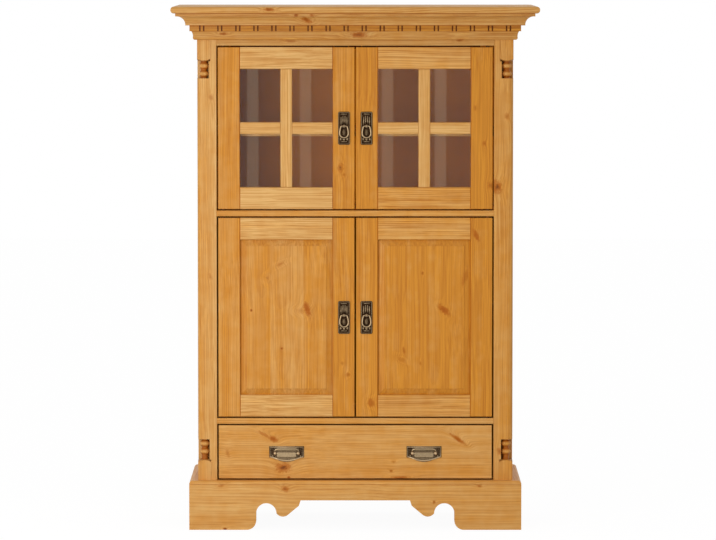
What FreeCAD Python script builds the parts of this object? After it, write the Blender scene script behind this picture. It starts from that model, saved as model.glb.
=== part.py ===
"""Pine highboard with glazed and panelled doors, a wide drawer, turned corner columns,
a mitred cornice and a cut-out plinth. Millimetres, +Z up, front towards -Y."""

import FreeCAD, Part
import math
import os
import Sketcher

# Driving sizes of the piece, in millimetres unless a comment says otherwise
SIZES = {
    # Carcass between the outer faces of the corner posts, and from their front to the back
    "body_width": 870,
    "body_depth": 370,
    "door_gap": 4,
    "eased_edge": 1.2,
    "overrun": 5,
    # Heights of the stack, from the floor up
    "plinth_height": 136,
    "drawer_height": 148,
    "lower_door_height": 551,
    "upper_door_height": 446,
    "divider_thickness": 16,
    # Corner posts, columns and side panels
    "post_width": 53,
    "post_depth": 50,
    "column_stock": 36,
    "side_thickness": 18,
    "side_set_back": 3,
    "back_thickness": 4,
    "back_inset": 6,
    "back_rebate": 10,
    "back_play": 1,
    # Turning of the columns
    "block_top_length": 59,
    "block_bottom_length": 57,
    "block_quirk": 1.5,
    "pommel_drop": 8.2,
    "pommel_radius": 22,
    "neck_radius": 8.5,
    "bead_radius": 13.4,
    "bead_height": 17,
    "bead_gap": 5,
    "head_neck": 4,
    "foot_neck": 13,
    "shaft_neck": 4,
    "shaft_round": 14,
    "column_cheek": 4,
    # Cornice, measured out from the body
    "cornice_reach": 70,
    "bed_height": 24,
    "bed_nose": 6,
    "bed_low_reach": 11,
    "bed_top_reach": 15,
    "dentil_height": 16,
    "dentil_reach": 20,
    "groove_width": 4,
    "groove_depth": 4,
    "groove_spacing": 10.5,
    "groove_pitch": 49.5,
    "first_pair_inset": 34,
    "front_pairs": 18,
    "side_pairs": 7,
    "crown_height": 33,
    "crown_low_reach": 31,
    "crown_lip": 2,
    "cove_radius": 23,
    "crown_top_reach": 57.5,
    "cap_thickness": 19,
    "cap_nose": 9,
    "header_thickness": 18,
    # Plinth boards and their cut-outs
    "plinth_reach": 24,
    "plinth_thickness": 28,
    "plinth_round": 9,
    "plinth_quirk": 1.6,
    "foot_flat": 159,
    "foot_round": 26,
    "foot_step": 20,
    "scallop_radius": 28,
    "lobe_width": 32,
    "lobe_radius": 22,
    "lobe_drop": 4,
    "ramp_run": 30,
    "ramp_rise": 25,
    "arch_step": 5,
    "arch_height": 82,
    "side_foot_flat": 92,
    "rear_rail_thickness": 18,
    "rear_rail_lift": 40,
    "corner_block": 40,
    "corner_block_lift": 12,
    "floor_thickness": 18,
    # Doors
    "door_thickness": 21,
    "stile_width": 60,
    "rail_width": 60,
    "glass_lip": 9,
    "glass_rebate": 8,
    "glass_thickness": 4,
    "glass_play": 1,
    "muntin_width": 32,
    "muntin_set_back": 1.5,
    "panel_groove": 8,
    "panel_edge": 6,
    "panel_play": 1,
    "panel_set_back": 2,
    "panel_step": 1.5,
    "panel_bevel": 18,
    # Pivots at the outer top and bottom corners of the doors
    "pivot_inset": 14,
    "pivot_set_back": 6,
    "pivot_radius": 3,
    "pivot_clearance": 0.05,
    "pivot_depth": 12,
    "pivot_reach": 5.5,
    "collar_radius": 5,
    "collar_play": 0.1,
    "socket_radius": 5,
    "socket_depth": 7,
    # Catches behind the free corners of the doors
    "catch_width": 40,
    "catch_height": 12,
    "catch_depth": 14,
    "catch_inset": 19,
    "catch_gap": 0.3,
    "striker_thickness": 1.2,
    # Shelves and their pins
    "shelf_thickness": 18,
    "shelf_play": 2,
    "shelf_set_back": 2,
    "upper_shelf_rise": 203,
    "lower_shelf_rise": 271,
    "pin_radius": 2.5,
    "pin_in": 9,
    "pin_out": 8,
    "pin_inset": 40,
    # Drawer and its runners
    "drawer_side_thickness": 12,
    "drawer_side_play": 4,
    "drawer_side_lift": 13,
    "drawer_side_height": 116,
    "drawer_length": 309,
    "drawer_back_drop": 6,
    "drawer_bottom_lift": 8,
    "drawer_bottom_thickness": 5,
    "drawer_groove": 6,
    "runner_gap": 0.3,
    "runner_ledge": 52,
    "runner_guide_height": 26,
    "runner_play": 0.5,
    "runner_end_gap": 14,
    # Ring pulls of the doors
    "plate_thickness": 2.5,
    "plate_bevel": 0.9,
    "ring_plate_width": 33,
    "ring_plate_height": 91,
    "ring_plate_scoop": 2.5,
    "ring_plate_inset": 31,
    "ring_pivot_rise": 6,
    "ring_wire": 1.8,
    "ring_half_width": 11.8,
    "ring_widest": 20,
    "ring_corner": 4,
    "ball_radius": 4.6,
    "ball_standoff": 5,
    "ball_neck": 2.6,
    "wire_clearance": 0.06,
    "wire_past_ball": 0.6,
    # Bail pulls of the drawer
    "bail_plate_width": 96,
    "bail_plate_height": 43,
    "bail_plate_side": 31,
    "bail_plate_shoulder": 26,
    "bail_plate_dip": 8,
    "bail_plate_lift": 47,
    "bail_pivot_lift": 24,
    "bail_post_spacing": 64,
    "bail_pin": 2,
    "bail_pin_short": 2,
    "grip_length": 53,
    "grip_rise": 3,
    "grip_drop": 10.5,
    "grip_corner": 4,
    "grip_thickness": 4.4,
    "grip_round": 1.4,
}

FULL_TURN = 360
QUARTER_TURN = 90

# How close two lengths must be to count as the same
SAME = 1e-4


class Size:
    """A number together with the sheet formula that gives it."""

    def __init__(self, number, formula):
        self.number = number
        self.formula = formula

    def _with(self, sign, other, number):
        return Size(number, "(%s %s %s)" % (self.formula, sign, other.formula))

    def __add__(self, other):
        other = as_size(other)
        return self._with("+", other, self.number + other.number)

    def __sub__(self, other):
        other = as_size(other)
        return self._with("-", other, self.number - other.number)

    def __mul__(self, other):
        other = as_size(other)
        return self._with("*", other, self.number * other.number)

    def __truediv__(self, other):
        other = as_size(other)
        return self._with("/", other, self.number / other.number)

    def __neg__(self):
        return as_size(0) - self


def as_size(value):
    return value if isinstance(value, Size) else Size(float(value), str(value))


def square_root(size):
    return Size(math.sqrt(size.number), "sqrt(%s)" % size.formula)


document = FreeCAD.newDocument("highboard")
sheet = document.addObject("Spreadsheet::Sheet", "sizes")
s = type("Sizes", (), {})()
for row, (alias, number) in enumerate(SIZES.items(), start=1):
    sheet.set("A%d" % row, alias)
    sheet.set("B%d" % row, str(number))
    sheet.setAlias("B%d" % row, alias)
    setattr(s, alias, Size(float(number), "sizes.%s" % alias))
document.recompute()

nodes = []


def node(thing, label):
    """Mark an object as a finished sub-part under its own name."""
    thing.Label = label
    nodes.append(thing)
    return thing


def bind(thing, **formulas):
    for name, size in formulas.items():
        thing.setExpression(name, as_size(size).formula)


def place(thing, point, turn=0):
    """Put an object at a point, turned about the vertical."""
    rotation = FreeCAD.Rotation(FreeCAD.Vector(0, 0, 1), turn)
    thing.Placement = FreeCAD.Placement(FreeCAD.Vector(), rotation)
    for axis, size in zip("xyz", point):
        thing.setExpression("Placement.Base." + axis, as_size(size).formula)
    return thing


def block(name, low, high):
    """A plain squared board between two corners."""
    thing = document.addObject("Part::Box", name)
    bind(thing, Length=high[0] - low[0], Width=high[1] - low[1], Height=high[2] - low[2])
    return place(thing, low)


def rod(name, centre, radius, length, along="z"):
    """A round bar from a point, along one axis."""
    thing = document.addObject("Part::Cylinder", name)
    bind(thing, Radius=radius, Height=length)
    place(thing, centre)
    turns = {
        "z": FreeCAD.Rotation(),
        "x": FreeCAD.Rotation(FreeCAD.Vector(0, 1, 0), QUARTER_TURN),
        "y": FreeCAD.Rotation(FreeCAD.Vector(1, 0, 0), -QUARTER_TURN),
    }
    thing.Placement.Rotation = turns[along]
    return thing


def less(name, base, tools):
    """The base with the tools taken away."""
    for number, tool in enumerate(tools, start=1):
        thing = document.addObject("Part::Cut", "%s_less_%d" % (name, number))
        thing.Base = base
        thing.Tool = tool
        base = thing
    return base


def joined(name, pieces):
    thing = document.addObject("Part::MultiFuse", name)
    thing.Shapes = pieces
    thing.Refine = True
    return thing


def group(name, pieces):
    """Separate solids that share one name."""
    thing = document.addObject("Part::Compound", name)
    thing.Links = pieces
    return thing


def mirrored(name, source):
    """The same piece on the other side of the middle."""
    thing = document.addObject("Part::Mirroring", name)
    thing.Source = source
    thing.Normal = FreeCAD.Vector(1, 0, 0)
    return thing


def pair(label_left, label_right, left):
    """Keep a left-hand piece and its mirror image."""
    node(left, label_left)
    return node(mirrored(label_right, left), label_right)


def sketch_on(body, role, name):
    """An empty sketch on one of a body's own origin planes."""
    plane = next(item for item in body.Origin.OriginFeatures if item.Role == role)
    sketch = body.newObject("Sketcher::SketchObject", name)
    sketch.AttachmentSupport = [(plane, "")]
    sketch.MapMode = "FlatFace"
    return sketch


def arc_geometry(start, end, radius, turn):
    """The smaller arc between two points, turn 1 to the left and -1 to the right."""
    middle = (start + end) / 2
    half = (end - start) / 2
    offset = math.sqrt(max(0.0, radius**2 - half.Length**2))
    normal = FreeCAD.Vector(-half.y, half.x, 0).normalize() * turn * offset
    centre = middle + normal
    first, last = (start, end) if turn > 0 else (end, start)
    angles = [math.atan2(point.y - centre.y, point.x - centre.x) for point in (first, last)]
    if angles[1] < angles[0]:
        angles[1] += 2 * math.pi
    circle = Part.Circle(centre, FreeCAD.Vector(0, 0, 1), radius)
    return Part.ArcOfCircle(circle, *angles)


def draw(sketch, start, steps):
    """Lines (x, y) and arcs (x, y, radius, turn) in a row, with every corner tied to the sheet."""
    corners = [start] + [step[:2] for step in steps]
    corners = [(as_size(x), as_size(y)) for x, y in corners]
    points = [FreeCAD.Vector(x.number, y.number, 0) for x, y in corners]
    rules, formulas, ends = [], [], []
    for index, step in enumerate(steps):
        begin, end = points[index], points[index + 1]
        if len(step) == 2:
            edge = sketch.addGeometry(Part.LineSegment(begin, end), False)
            ends.append((edge, 1, 2))
        else:
            radius, turn = step[2:]
            edge = sketch.addGeometry(arc_geometry(begin, end, radius.number, turn), False)
            ends.append((edge, 1, 2) if turn > 0 else (edge, 2, 1))
            rules.append(Sketcher.Constraint("Radius", edge, radius.number))
            formulas.append(radius)
    for index, (edge, first, last) in enumerate(ends):
        for kind, size in zip(("DistanceX", "DistanceY"), corners[index]):
            rules.append(Sketcher.Constraint(kind, edge, first, size.number))
            formulas.append(size)
    tied = list(zip(sketch.addConstraint(rules), formulas))
    followers = ends[1:] + ends[:1]
    joins = [
        Sketcher.Constraint("Coincident", one[0], one[2], two[0], two[1])
        for one, two in zip(ends, followers)
    ]
    sketch.addConstraint(joins)
    for index, size in tied:
        sketch.setExpression("Constraints[%d]" % index, size.formula)
    return sketch


def rectangle(sketch, width, height, left=0, low=0):
    left, low = as_size(left), as_size(low)
    right, high = left + width, low + height
    return draw(sketch, (left, low), [(right, low), (right, high), (left, high), (left, low)])


def pad(body, sketch, length, forward=True):
    thing = body.newObject("PartDesign::Pad", body.Name + "_pad")
    thing.Profile = sketch
    thing.Reversed = not forward
    bind(thing, Length=length)
    return thing


def pocket(body, sketch, length, forward=True):
    thing = body.newObject("PartDesign::Pocket", body.Name + "_pocket")
    thing.Profile = sketch
    thing.Reversed = forward
    bind(thing, Length=length)
    return thing


def ease(body, base, chosen, size, kind="Chamfer"):
    """Bevel or round the edges that the test picks."""
    document.recompute()
    names = [
        "Edge%d" % number
        for number, edge in enumerate(base.Shape.Edges, start=1)
        if chosen(edge)
    ]
    thing = body.newObject("PartDesign::" + kind, body.Name + "_eased")
    thing.Base = (base, names)
    if kind == "Chamfer":
        bind(thing, Size=size)
    else:
        bind(thing, Radius=size)
    return thing


def near(value, target):
    return abs(value - target) < SAME


def on_front(edge):
    """Whether an edge lies in a board's front face, at local y of zero."""
    return all(near(vertex.Y, 0) for vertex in edge.Vertexes)


def straight_front(edge):
    """Whether an edge of the front face is a straight one."""
    return on_front(edge) and edge.Curve.TypeId == "Part::GeomLine"


def board(name, low, high, eased=True):
    """A squared board with its front edges eased, between two corners."""
    if not eased:
        return block(name, low, high)
    body = document.addObject("PartDesign::Body", name)
    sketch = rectangle(sketch_on(body, "XZ_Plane", name + "_face"), high[0] - low[0], high[2] - low[2])
    base = pad(body, sketch, high[1] - low[1], forward=False)
    ease(body, base, on_front, s.eased_edge)
    return place(body, low)


# Places that many pieces share
half_body = s.body_width / 2
half_opening = half_body - s.post_width
back = (s.body_depth + s.cornice_reach) / 2
front = back - s.body_depth
behind_post = front + s.post_depth
back_face = back - s.back_inset
side_outer = half_body - s.side_set_back
side_inner = side_outer - s.side_thickness

plinth_top = s.plinth_height
drawer_low = plinth_top + s.door_gap
drawer_high = drawer_low + s.drawer_height
drawer_divider_low = drawer_high + s.door_gap
drawer_divider_high = drawer_divider_low + s.divider_thickness
lower_low = drawer_divider_high + s.door_gap
lower_high = lower_low + s.lower_door_height
middle_low = lower_high + s.door_gap
middle_high = middle_low + s.divider_thickness
upper_low = middle_high + s.door_gap
upper_high = upper_low + s.upper_door_height
top_low = upper_high + s.door_gap
carcass_top = top_low + s.divider_thickness
bed_top = carcass_top + s.bed_height
dentil_top = bed_top + s.dentil_height
crown_top = dentil_top + s.crown_height

door_outer = half_opening - s.door_gap
door_inner = s.door_gap / 2
door_back = front + s.door_thickness
pivot_x = door_outer - s.pivot_inset
pivot_y = front + s.pivot_set_back


def bead_zones():
    """Heights above the foot of a post between which its column is turned thin."""
    thin = s.bead_height * 2 + s.bead_gap + s.shaft_neck
    low = s.block_bottom_length
    high = carcass_top - plinth_top - s.block_top_length
    return (low, low + s.foot_neck + thin), (high - s.head_neck - thin, high)


def corner_post():
    """Front post, notched over its outer corner for the column and closer beside the beads."""
    body = document.addObject("PartDesign::Body", "post_body")
    wide, deep, notch = s.post_width, s.post_depth, s.column_stock
    sketch = draw(
        sketch_on(body, "XY_Plane", "post_section"),
        (notch, 0),
        [(wide, 0), (wide, deep), (0, deep), (0, notch), (notch, notch), (notch, 0)],
    )
    base = pad(body, sketch, carcass_top - plinth_top)

    def opening_corner(edge):
        ends = [(vertex.X, vertex.Y) for vertex in edge.Vertexes]
        return all(near(x, wide.number) and near(y, 0) for x, y in ends)

    ease(body, base, opening_corner, s.eased_edge)
    place(body, (-half_body, front, plinth_top))
    pieces = [body]
    outer, inner = notch - half_body, notch - s.column_cheek
    for number, (low, high) in enumerate(bead_zones()):
        low, high = plinth_top + low, plinth_top + high
        cheek_low = (inner - half_body, front, low)
        pieces.append(block("cheek_%d" % number, cheek_low, (outer, front + notch, high)))
        cheek_low = (-half_body, front + inner, low)
        pieces.append(block("rear_cheek_%d" % number, cheek_low, (outer, front + notch, high)))
    foot, head = bead_zones()
    quirk = s.block_quirk
    quirks = []
    for name, low, high in (
        ("foot_quirk", plinth_top, plinth_top + foot[0]),
        ("head_quirk", plinth_top + head[1], carcass_top),
    ):
        quirk_low = (outer, front - s.overrun, low)
        quirks.append(block(name, quirk_low, (outer + quirk, front + quirk, high)))
    post = less("corner_post", joined("corner_post_solid", pieces), quirks)
    pair("corner_post_left", "corner_post_right", post)


def bead_steps(level, bead_arc):
    """Two beads with a gap between them, upwards from a height."""
    neck, tall = s.neck_radius, s.bead_height
    steps = []
    for bead in range(2):
        steps += [(neck, level), (neck, level + tall, bead_arc, 1)]
        level = level + tall + s.bead_gap
    return steps


def column_profile():
    """Radius and height steps of the turning, from the foot of the column up."""
    height = carcass_top - plinth_top
    neck, drop, swing = s.neck_radius, s.pommel_drop, s.pommel_radius
    clear = neck + square_root(swing * drop * 2 - drop * drop)
    bead_rise = s.bead_radius - neck
    bead_arc = s.bead_height * s.bead_height / (bead_rise * 8) + bead_rise / 2
    (low, shaft_low), (shaft_high, high) = bead_zones()
    steps = [(clear, 0), (clear, low - drop), (neck, low, swing, 1)]
    steps += bead_steps(low + s.foot_neck, bead_arc)
    steps += [(neck, shaft_low), (clear, shaft_low), (clear, shaft_high), (neck, shaft_high)]
    steps += bead_steps(shaft_high + s.shaft_neck, bead_arc)
    steps += [(neck, high), (clear, high + drop, swing, 1)]
    steps += [(clear, height), (0, height), (0, 0)]
    return steps


def turned_column():
    """Square stock turned thin at its two pairs of beads, its shaft rounded at the outer corner."""
    body = document.addObject("PartDesign::Body", "column_turning")
    sketch = draw(sketch_on(body, "XZ_Plane", "turning_profile"), (0, 0), column_profile())
    turning = body.newObject("PartDesign::Revolution", "column_turned")
    turning.Profile = sketch
    turning.ReferenceAxis = (sketch, ["V_Axis"])
    turning.Angle = FULL_TURN
    wide = s.column_stock
    place(body, (wide / 2 - half_body, front + wide / 2, plinth_top))
    stock = document.addObject("PartDesign::Body", "column_stock_body")
    section = rectangle(sketch_on(stock, "XY_Plane", "stock_section"), wide, wide)
    base = pad(stock, section, carcass_top - plinth_top)

    def outer_corner(edge):
        return all(near(vertex.X, 0) and near(vertex.Y, 0) for vertex in edge.Vertexes)

    ease(stock, base, outer_corner, s.eased_edge)
    place(stock, (-half_body, front, plinth_top))
    column = document.addObject("Part::Common", "column_cut")
    column.Base = stock
    column.Tool = body
    rounded = less("turned_column", column, [shaft_cutter()])
    pair("turned_column_left", "turned_column_right", rounded)


def shaft_cutter():
    """What the rounding takes off the outer corner of the shaft."""
    radius = s.shaft_round
    low, high = (plinth_top + level for level in (bead_zones()[0][1], bead_zones()[1][0]))
    corner_low = (-half_body - s.overrun, front - s.overrun, low)
    corner = block("shaft_corner", corner_low, (radius - half_body, front + radius, high))
    core_low = (radius - half_body, front + radius, low - s.overrun)
    core = rod("shaft_core", core_low, radius, high - low + s.overrun * 2)
    return less("shaft_cutter", corner, [core])


def side_panel():
    """Solid side with a rebate for the back and blind holes for the shelf pins."""
    low = (-side_outer, behind_post, plinth_top)
    high = (-side_inner, back, carcass_top)
    panel = block("side_board", low, high)
    rebate = block(
        "side_rebate",
        (-side_inner - s.back_rebate, back_face, plinth_top - s.overrun),
        (-side_inner + s.overrun, back + s.overrun, carcass_top + s.overrun),
    )
    tools = [rebate]
    for index, (y, z) in enumerate(pin_places()):
        start = (-side_inner - s.pin_in, y, z)
        tools.append(rod("pin_hole_%d" % index, start, s.pin_radius, s.pin_in + s.overrun, "x"))
    pair("side_panel_left", "side_panel_right", less("side_panel", panel, tools))


shelf_front = behind_post + s.shelf_set_back
shelf_back = back_face - s.shelf_set_back
upper_shelf_low = middle_high + s.upper_shelf_rise
lower_shelf_low = drawer_divider_high + s.lower_shelf_rise


def pin_places():
    """Front and back places of the pins under each shelf."""
    return [
        (y, level - s.pin_radius)
        for level in (lower_shelf_low, upper_shelf_low)
        for y in (shelf_front + s.pin_inset, shelf_back - s.pin_inset)
    ]


def shelves():
    half = side_inner - s.shelf_play
    boards = [
        board(name, (-half, shelf_front, level), (half, shelf_back, level + s.shelf_thickness))
        for name, level in (("lower_shelf", lower_shelf_low), ("upper_shelf", upper_shelf_low))
    ]
    node(group("shelves", boards), "shelves")
    pins = []
    for index, (y, z) in enumerate(pin_places()):
        start = (-side_inner - s.pin_in, y, z)
        pin = rod("shelf_pin_%d" % index, start, s.pin_radius, s.pin_in + s.pin_out, "x")
        pins += [pin, mirrored("shelf_pin_right_%d" % index, pin)]
    node(group("shelf_pins", pins), "shelf_pins")


def tee_board(name, low, pivots_above, pivots_below):
    """A board that fills the front opening and widens behind the posts to the sides."""
    body = document.addObject("PartDesign::Body", name + "_board")
    shoulder = side_inner - half_opening
    step = s.post_depth
    wide, deep = side_inner * 2, back_face - front
    sketch = draw(
        sketch_on(body, "XY_Plane", name + "_plan"),
        (shoulder, 0),
        [
            (wide - shoulder, 0),
            (wide - shoulder, step),
            (wide, step),
            (wide, deep),
            (0, deep),
            (0, step),
            (shoulder, step),
            (shoulder, 0),
        ],
    )
    base = pad(body, sketch, s.divider_thickness)

    def long_front(edge):
        return on_front(edge) and edge.Length > s.divider_thickness.number * 2

    ease(body, base, long_front, s.eased_edge)
    place(body, (-side_inner, front, low))
    levels = []
    if pivots_above:
        levels.append(low + s.divider_thickness - s.socket_depth)
    if pivots_below:
        levels.append(low - s.overrun)
    tools = []
    for level in levels:
        for side in (-1, 1):
            spot = (pivot_x * side, pivot_y, level)
            hole = rod(name + "_socket_hole", spot, s.socket_radius, s.socket_depth + s.overrun)
            tools.append(hole)
    return less(name, body, tools)


def horizontal_boards():
    node(tee_board("top_board", top_low, False, True), "top_board")
    node(tee_board("middle_divider", middle_low, True, True), "middle_divider")
    node(tee_board("drawer_divider", drawer_divider_low, True, False), "drawer_divider")
    half = half_body + s.plinth_reach - s.plinth_thickness
    plinth_inner = front - s.plinth_reach + s.plinth_thickness
    floor_low = plinth_top - s.floor_thickness
    floor = block("bottom_board", (-half, plinth_inner, floor_low), (half, back_face, plinth_top))
    node(floor, "bottom_board")


def back_panel():
    half = side_inner + s.back_rebate - s.back_play
    low = (-half, back_face, plinth_top)
    high = (half, back_face + s.back_thickness, carcass_top)
    node(block("back_panel", low, high), "back_panel")


def header_frame():
    """Four boards behind the mouldings, on which the cap lies."""
    thick = s.header_thickness
    side_high = (-half_body + thick, back - thick, crown_top)
    side = block("header_side", (-half_body, front + thick, carcass_top), side_high)
    face_high = (half_body, front + thick, crown_top)
    face = block("header_front", (-half_body, front, carcass_top), face_high)
    rear_low = (-half_body, back - thick, carcass_top)
    rear = block("header_rear", rear_low, (half_body, back, crown_top))
    frame = group("header_frame", [face, side, mirrored("header_side_right", side), rear])
    node(frame, "header_frame")


def moulding_run(name, profile, reach, length, mitres, grooves=0):
    """One length of moulding with its profile outwards along x, mitred at 45 degrees."""
    body = document.addObject("PartDesign::Body", name)
    start, steps = profile
    sketch = draw(sketch_on(body, "XZ_Plane", name + "_profile"), start, steps)
    tip = pad(body, sketch, length, forward=False)
    high = s.crown_height + s.bed_height
    corners = [((0, 0), [(reach, 0), (0, reach), (0, 0)])]
    if mitres == 2:
        corners.append(((0, length), [(reach, length), (0, length - reach), (0, length)]))
    for number, (first, others) in enumerate(corners):
        cutter = draw(sketch_on(body, "XY_Plane", "%s_mitre_%d" % (name, number)), first, others)
        tip = pocket(body, cutter, high)
    if grooves:
        cutter = sketch_on(body, "XY_Plane", name + "_groove_pair")
        low_edge = s.first_pair_inset + reach - s.dentil_reach - (s.groove_spacing + s.groove_width) / 2
        cut = s.groove_depth + s.overrun
        for edge in (low_edge, low_edge + s.groove_spacing):
            rectangle(cutter, cut, s.groove_width, reach - s.groove_depth, edge)
        tip = pocket(body, cutter, high)
        pattern = body.newObject("PartDesign::LinearPattern", name + "_grooves")
        pattern.Originals = [tip]
        pattern.Direction = (cutter, ["V_Axis"])
        bind(pattern, Length=s.groove_pitch * (grooves - 1), Occurrences=grooves)
        body.Tip = pattern
    return body


def moulding(label, level, profile, reach, front_grooves=0, side_grooves=0):
    """Front length and two returns, mitred together round the front corners."""
    front_length = s.body_width + reach * 2
    side_length = s.body_depth + reach
    face = moulding_run(label + "_front", profile, reach, front_length, 2, front_grooves)
    place(face, (-half_body - reach, front, level), -QUARTER_TURN)
    right = moulding_run(label + "_return", profile, reach, side_length, 1, side_grooves)
    place(right, (half_body, front - reach, level))
    left = mirrored(label + "_return_left", right)
    node(group(label, [face, right, left]), label)


def mouldings():
    nose, low, top = s.bed_nose, s.bed_low_reach, s.bed_top_reach
    hollow = s.bed_height
    bed_steps = [
        (low - nose, 0),
        (low, nose, nose, 1),
        (top, s.bed_height, hollow, -1),
        (0, s.bed_height),
        (0, 0),
    ]
    moulding("bed_moulding", carcass_top, ((0, 0), bed_steps), top)
    strip = s.dentil_reach
    strip_steps = [(strip, 0), (strip, s.dentil_height), (0, s.dentil_height), (0, 0)]
    moulding("dentil_strip", bed_top, ((0, 0), strip_steps), strip, s.front_pairs, s.side_pairs)
    low, lip, cove = s.crown_low_reach, s.crown_lip, s.cove_radius
    crown_steps = [
        (low, 0),
        (low, lip),
        (low + cove, lip + cove, cove, -1),
        (s.crown_top_reach, lip + cove),
        (s.crown_top_reach, s.crown_height),
        (0, s.crown_height),
        (0, 0),
    ]
    moulding("crown_moulding", dentil_top, ((0, 0), crown_steps), s.crown_top_reach)


def cornice_cap():
    """Top board with a rounded nose along the front and both ends."""
    body = document.addObject("PartDesign::Body", "cornice_cap")
    wide = s.body_width + s.cornice_reach * 2
    deep = s.body_depth + s.cornice_reach
    sketch = rectangle(sketch_on(body, "XY_Plane", "cap_plan"), wide, deep)
    base = pad(body, sketch, s.cap_thickness)

    def nosed(edge):
        flat = near(edge.Vertexes[0].Z, edge.Vertexes[1].Z)
        at_back = all(near(vertex.Y, deep.number) for vertex in edge.Vertexes)
        return flat and not at_back

    ease(body, base, nosed, s.cap_nose, "Fillet")
    place(body, (-wide / 2, -deep / 2, crown_top))
    node(body, "cornice_cap")


def bracket_steps(start, sign):
    """Cut-out of one bracket foot from the outer end of its curve inwards."""
    def at(run, rise, *arc):
        x = start + run if sign > 0 else start - run
        return (x, rise) + arc

    r_foot, r_scallop = s.foot_round, s.scallop_radius
    level = r_foot + s.foot_step
    run = r_foot
    steps = [at(run, r_foot, r_foot, sign), at(run, level)]
    steps.append(at(run + r_scallop, level + r_scallop, r_scallop, -sign))
    run = run + r_scallop * 2
    steps.append(at(run, level, r_scallop, -sign))
    run = run + s.lobe_width
    steps.append(at(run, level - s.lobe_drop, s.lobe_radius, sign))
    run = run + s.ramp_run
    steps.append(at(run, level - s.lobe_drop + s.ramp_rise))
    steps.append(at(run + s.arch_step, s.arch_height))
    return steps


def side_bracket_steps(start, sign):
    """The plainer cut-out of the short side boards."""
    def at(run, rise, *arc):
        x = start + run if sign > 0 else start - run
        return (x, rise) + arc

    r_foot = s.foot_round
    rest = s.arch_height - r_foot - s.foot_step
    steps = [at(r_foot, r_foot, r_foot, sign), at(r_foot, r_foot + s.foot_step)]
    steps.append(at(r_foot + rest, s.arch_height, rest, -sign))
    return steps


def back_to_front(steps, start):
    """The same steps walked the other way, ending at the start."""
    corners = [start] + [step[:2] for step in steps]
    turned = []
    for index in range(len(steps) - 1, -1, -1):
        step = steps[index]
        arc = (step[2], -step[3]) if len(step) > 2 else ()
        turned.append(tuple(corners[index]) + arc)
    return turned


def plinth_board(name, length, flat, brackets, mitres):
    """One plinth board: feet and cut-outs along its lower edge, a rounded upper edge."""
    body = document.addObject("PartDesign::Body", name)
    left = brackets(as_size(flat), 1)
    right_start = length - flat
    right = brackets(right_start, -1)
    steps = [(flat, 0)] + left + [right[-1][:2]]
    steps += back_to_front(right, (right_start, as_size(0)))
    steps += [(length, 0), (length, s.plinth_height), (0, s.plinth_height), (0, 0)]
    sketch = draw(sketch_on(body, "XZ_Plane", name + "_outline"), (0, 0), steps)
    base = pad(body, sketch, s.plinth_thickness, forward=False)
    top = s.plinth_height.number

    def upper_front(edge):
        return on_front(edge) and all(near(vertex.Z, top) for vertex in edge.Vertexes)

    ease(body, base, upper_front, s.plinth_round, "Fillet")
    quirk = sketch_on(body, "YZ_Plane", name + "_quirk")
    deep = s.plinth_quirk
    rectangle(quirk, deep + s.overrun, deep, -s.overrun, s.plinth_height - s.plinth_round - deep)
    pocket(body, quirk, length)
    thick = s.plinth_thickness
    corners = [((0, 0), [(0, thick), (thick, thick), (0, 0)])]
    if mitres == 2:
        corners.append(((length, 0), [(length - thick, thick), (length, thick), (length, 0)]))
    for number, (first, others) in enumerate(corners):
        cutter = draw(sketch_on(body, "XY_Plane", "%s_mitre_%d" % (name, number)), first, others)
        pocket(body, cutter, s.plinth_height + s.overrun)
    return body


def plinth():
    half = half_body + s.plinth_reach
    thick = s.plinth_thickness
    face_y = front - s.plinth_reach
    face = plinth_board("plinth_front", half * 2, s.foot_flat, bracket_steps, 2)
    place(face, (-half, face_y, 0))
    node(face, "plinth_front")
    side = plinth_board("plinth_right", back - face_y, s.side_foot_flat, side_bracket_steps, 1)
    place(side, (half, face_y, 0), QUARTER_TURN)
    node(side, "plinth_right")
    node(mirrored("plinth_left", side), "plinth_left")
    inner = half - thick
    rear_low = (-inner, back_face - s.rear_rail_thickness, s.rear_rail_lift)
    floor_low = plinth_top - s.floor_thickness
    node(block("plinth_rear", rear_low, (inner, back_face, floor_low)), "plinth_rear")
    blocks = []
    inside = face_y + thick
    rear_face = back_face - s.rear_rail_thickness
    for name, y in (("front", inside), ("rear", rear_face - s.corner_block)):
        low = (-inner, y, s.corner_block_lift)
        high = (-inner + s.corner_block, y + s.corner_block, floor_low)
        corner = block("corner_block_" + name, low, high)
        blocks += [corner, mirrored("corner_block_right_" + name, corner)]
    node(group("plinth_corner_blocks", blocks), "plinth_corner_blocks")


def pivot_spots(low, high):
    """Direction, and door edge, of the pivots at the foot and head of a door."""
    return [(-1, low), (1, high)]


def pivot_sockets():
    """Bushes let into the boards above and below the doors."""
    bushes = []
    bore = s.pivot_radius + s.pivot_clearance
    for low, high in ((lower_low, lower_high), (upper_low, upper_high)):
        for way, edge in pivot_spots(low, high):
            face = edge + s.door_gap * way
            level = face if way > 0 else face - s.socket_depth
            spot = (-pivot_x, pivot_y, level)
            sleeve = rod("socket_sleeve", spot, s.socket_radius, s.socket_depth)
            hollow_spot = (-pivot_x, pivot_y, level - s.overrun)
            hollow = rod("socket_bore", hollow_spot, bore, s.socket_depth + s.overrun * 2)
            bush = less("pivot_socket", sleeve, [hollow])
            bushes += [bush, mirrored("pivot_socket_right", bush)]
    node(group("pivot_sockets", bushes), "pivot_sockets")


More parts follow.
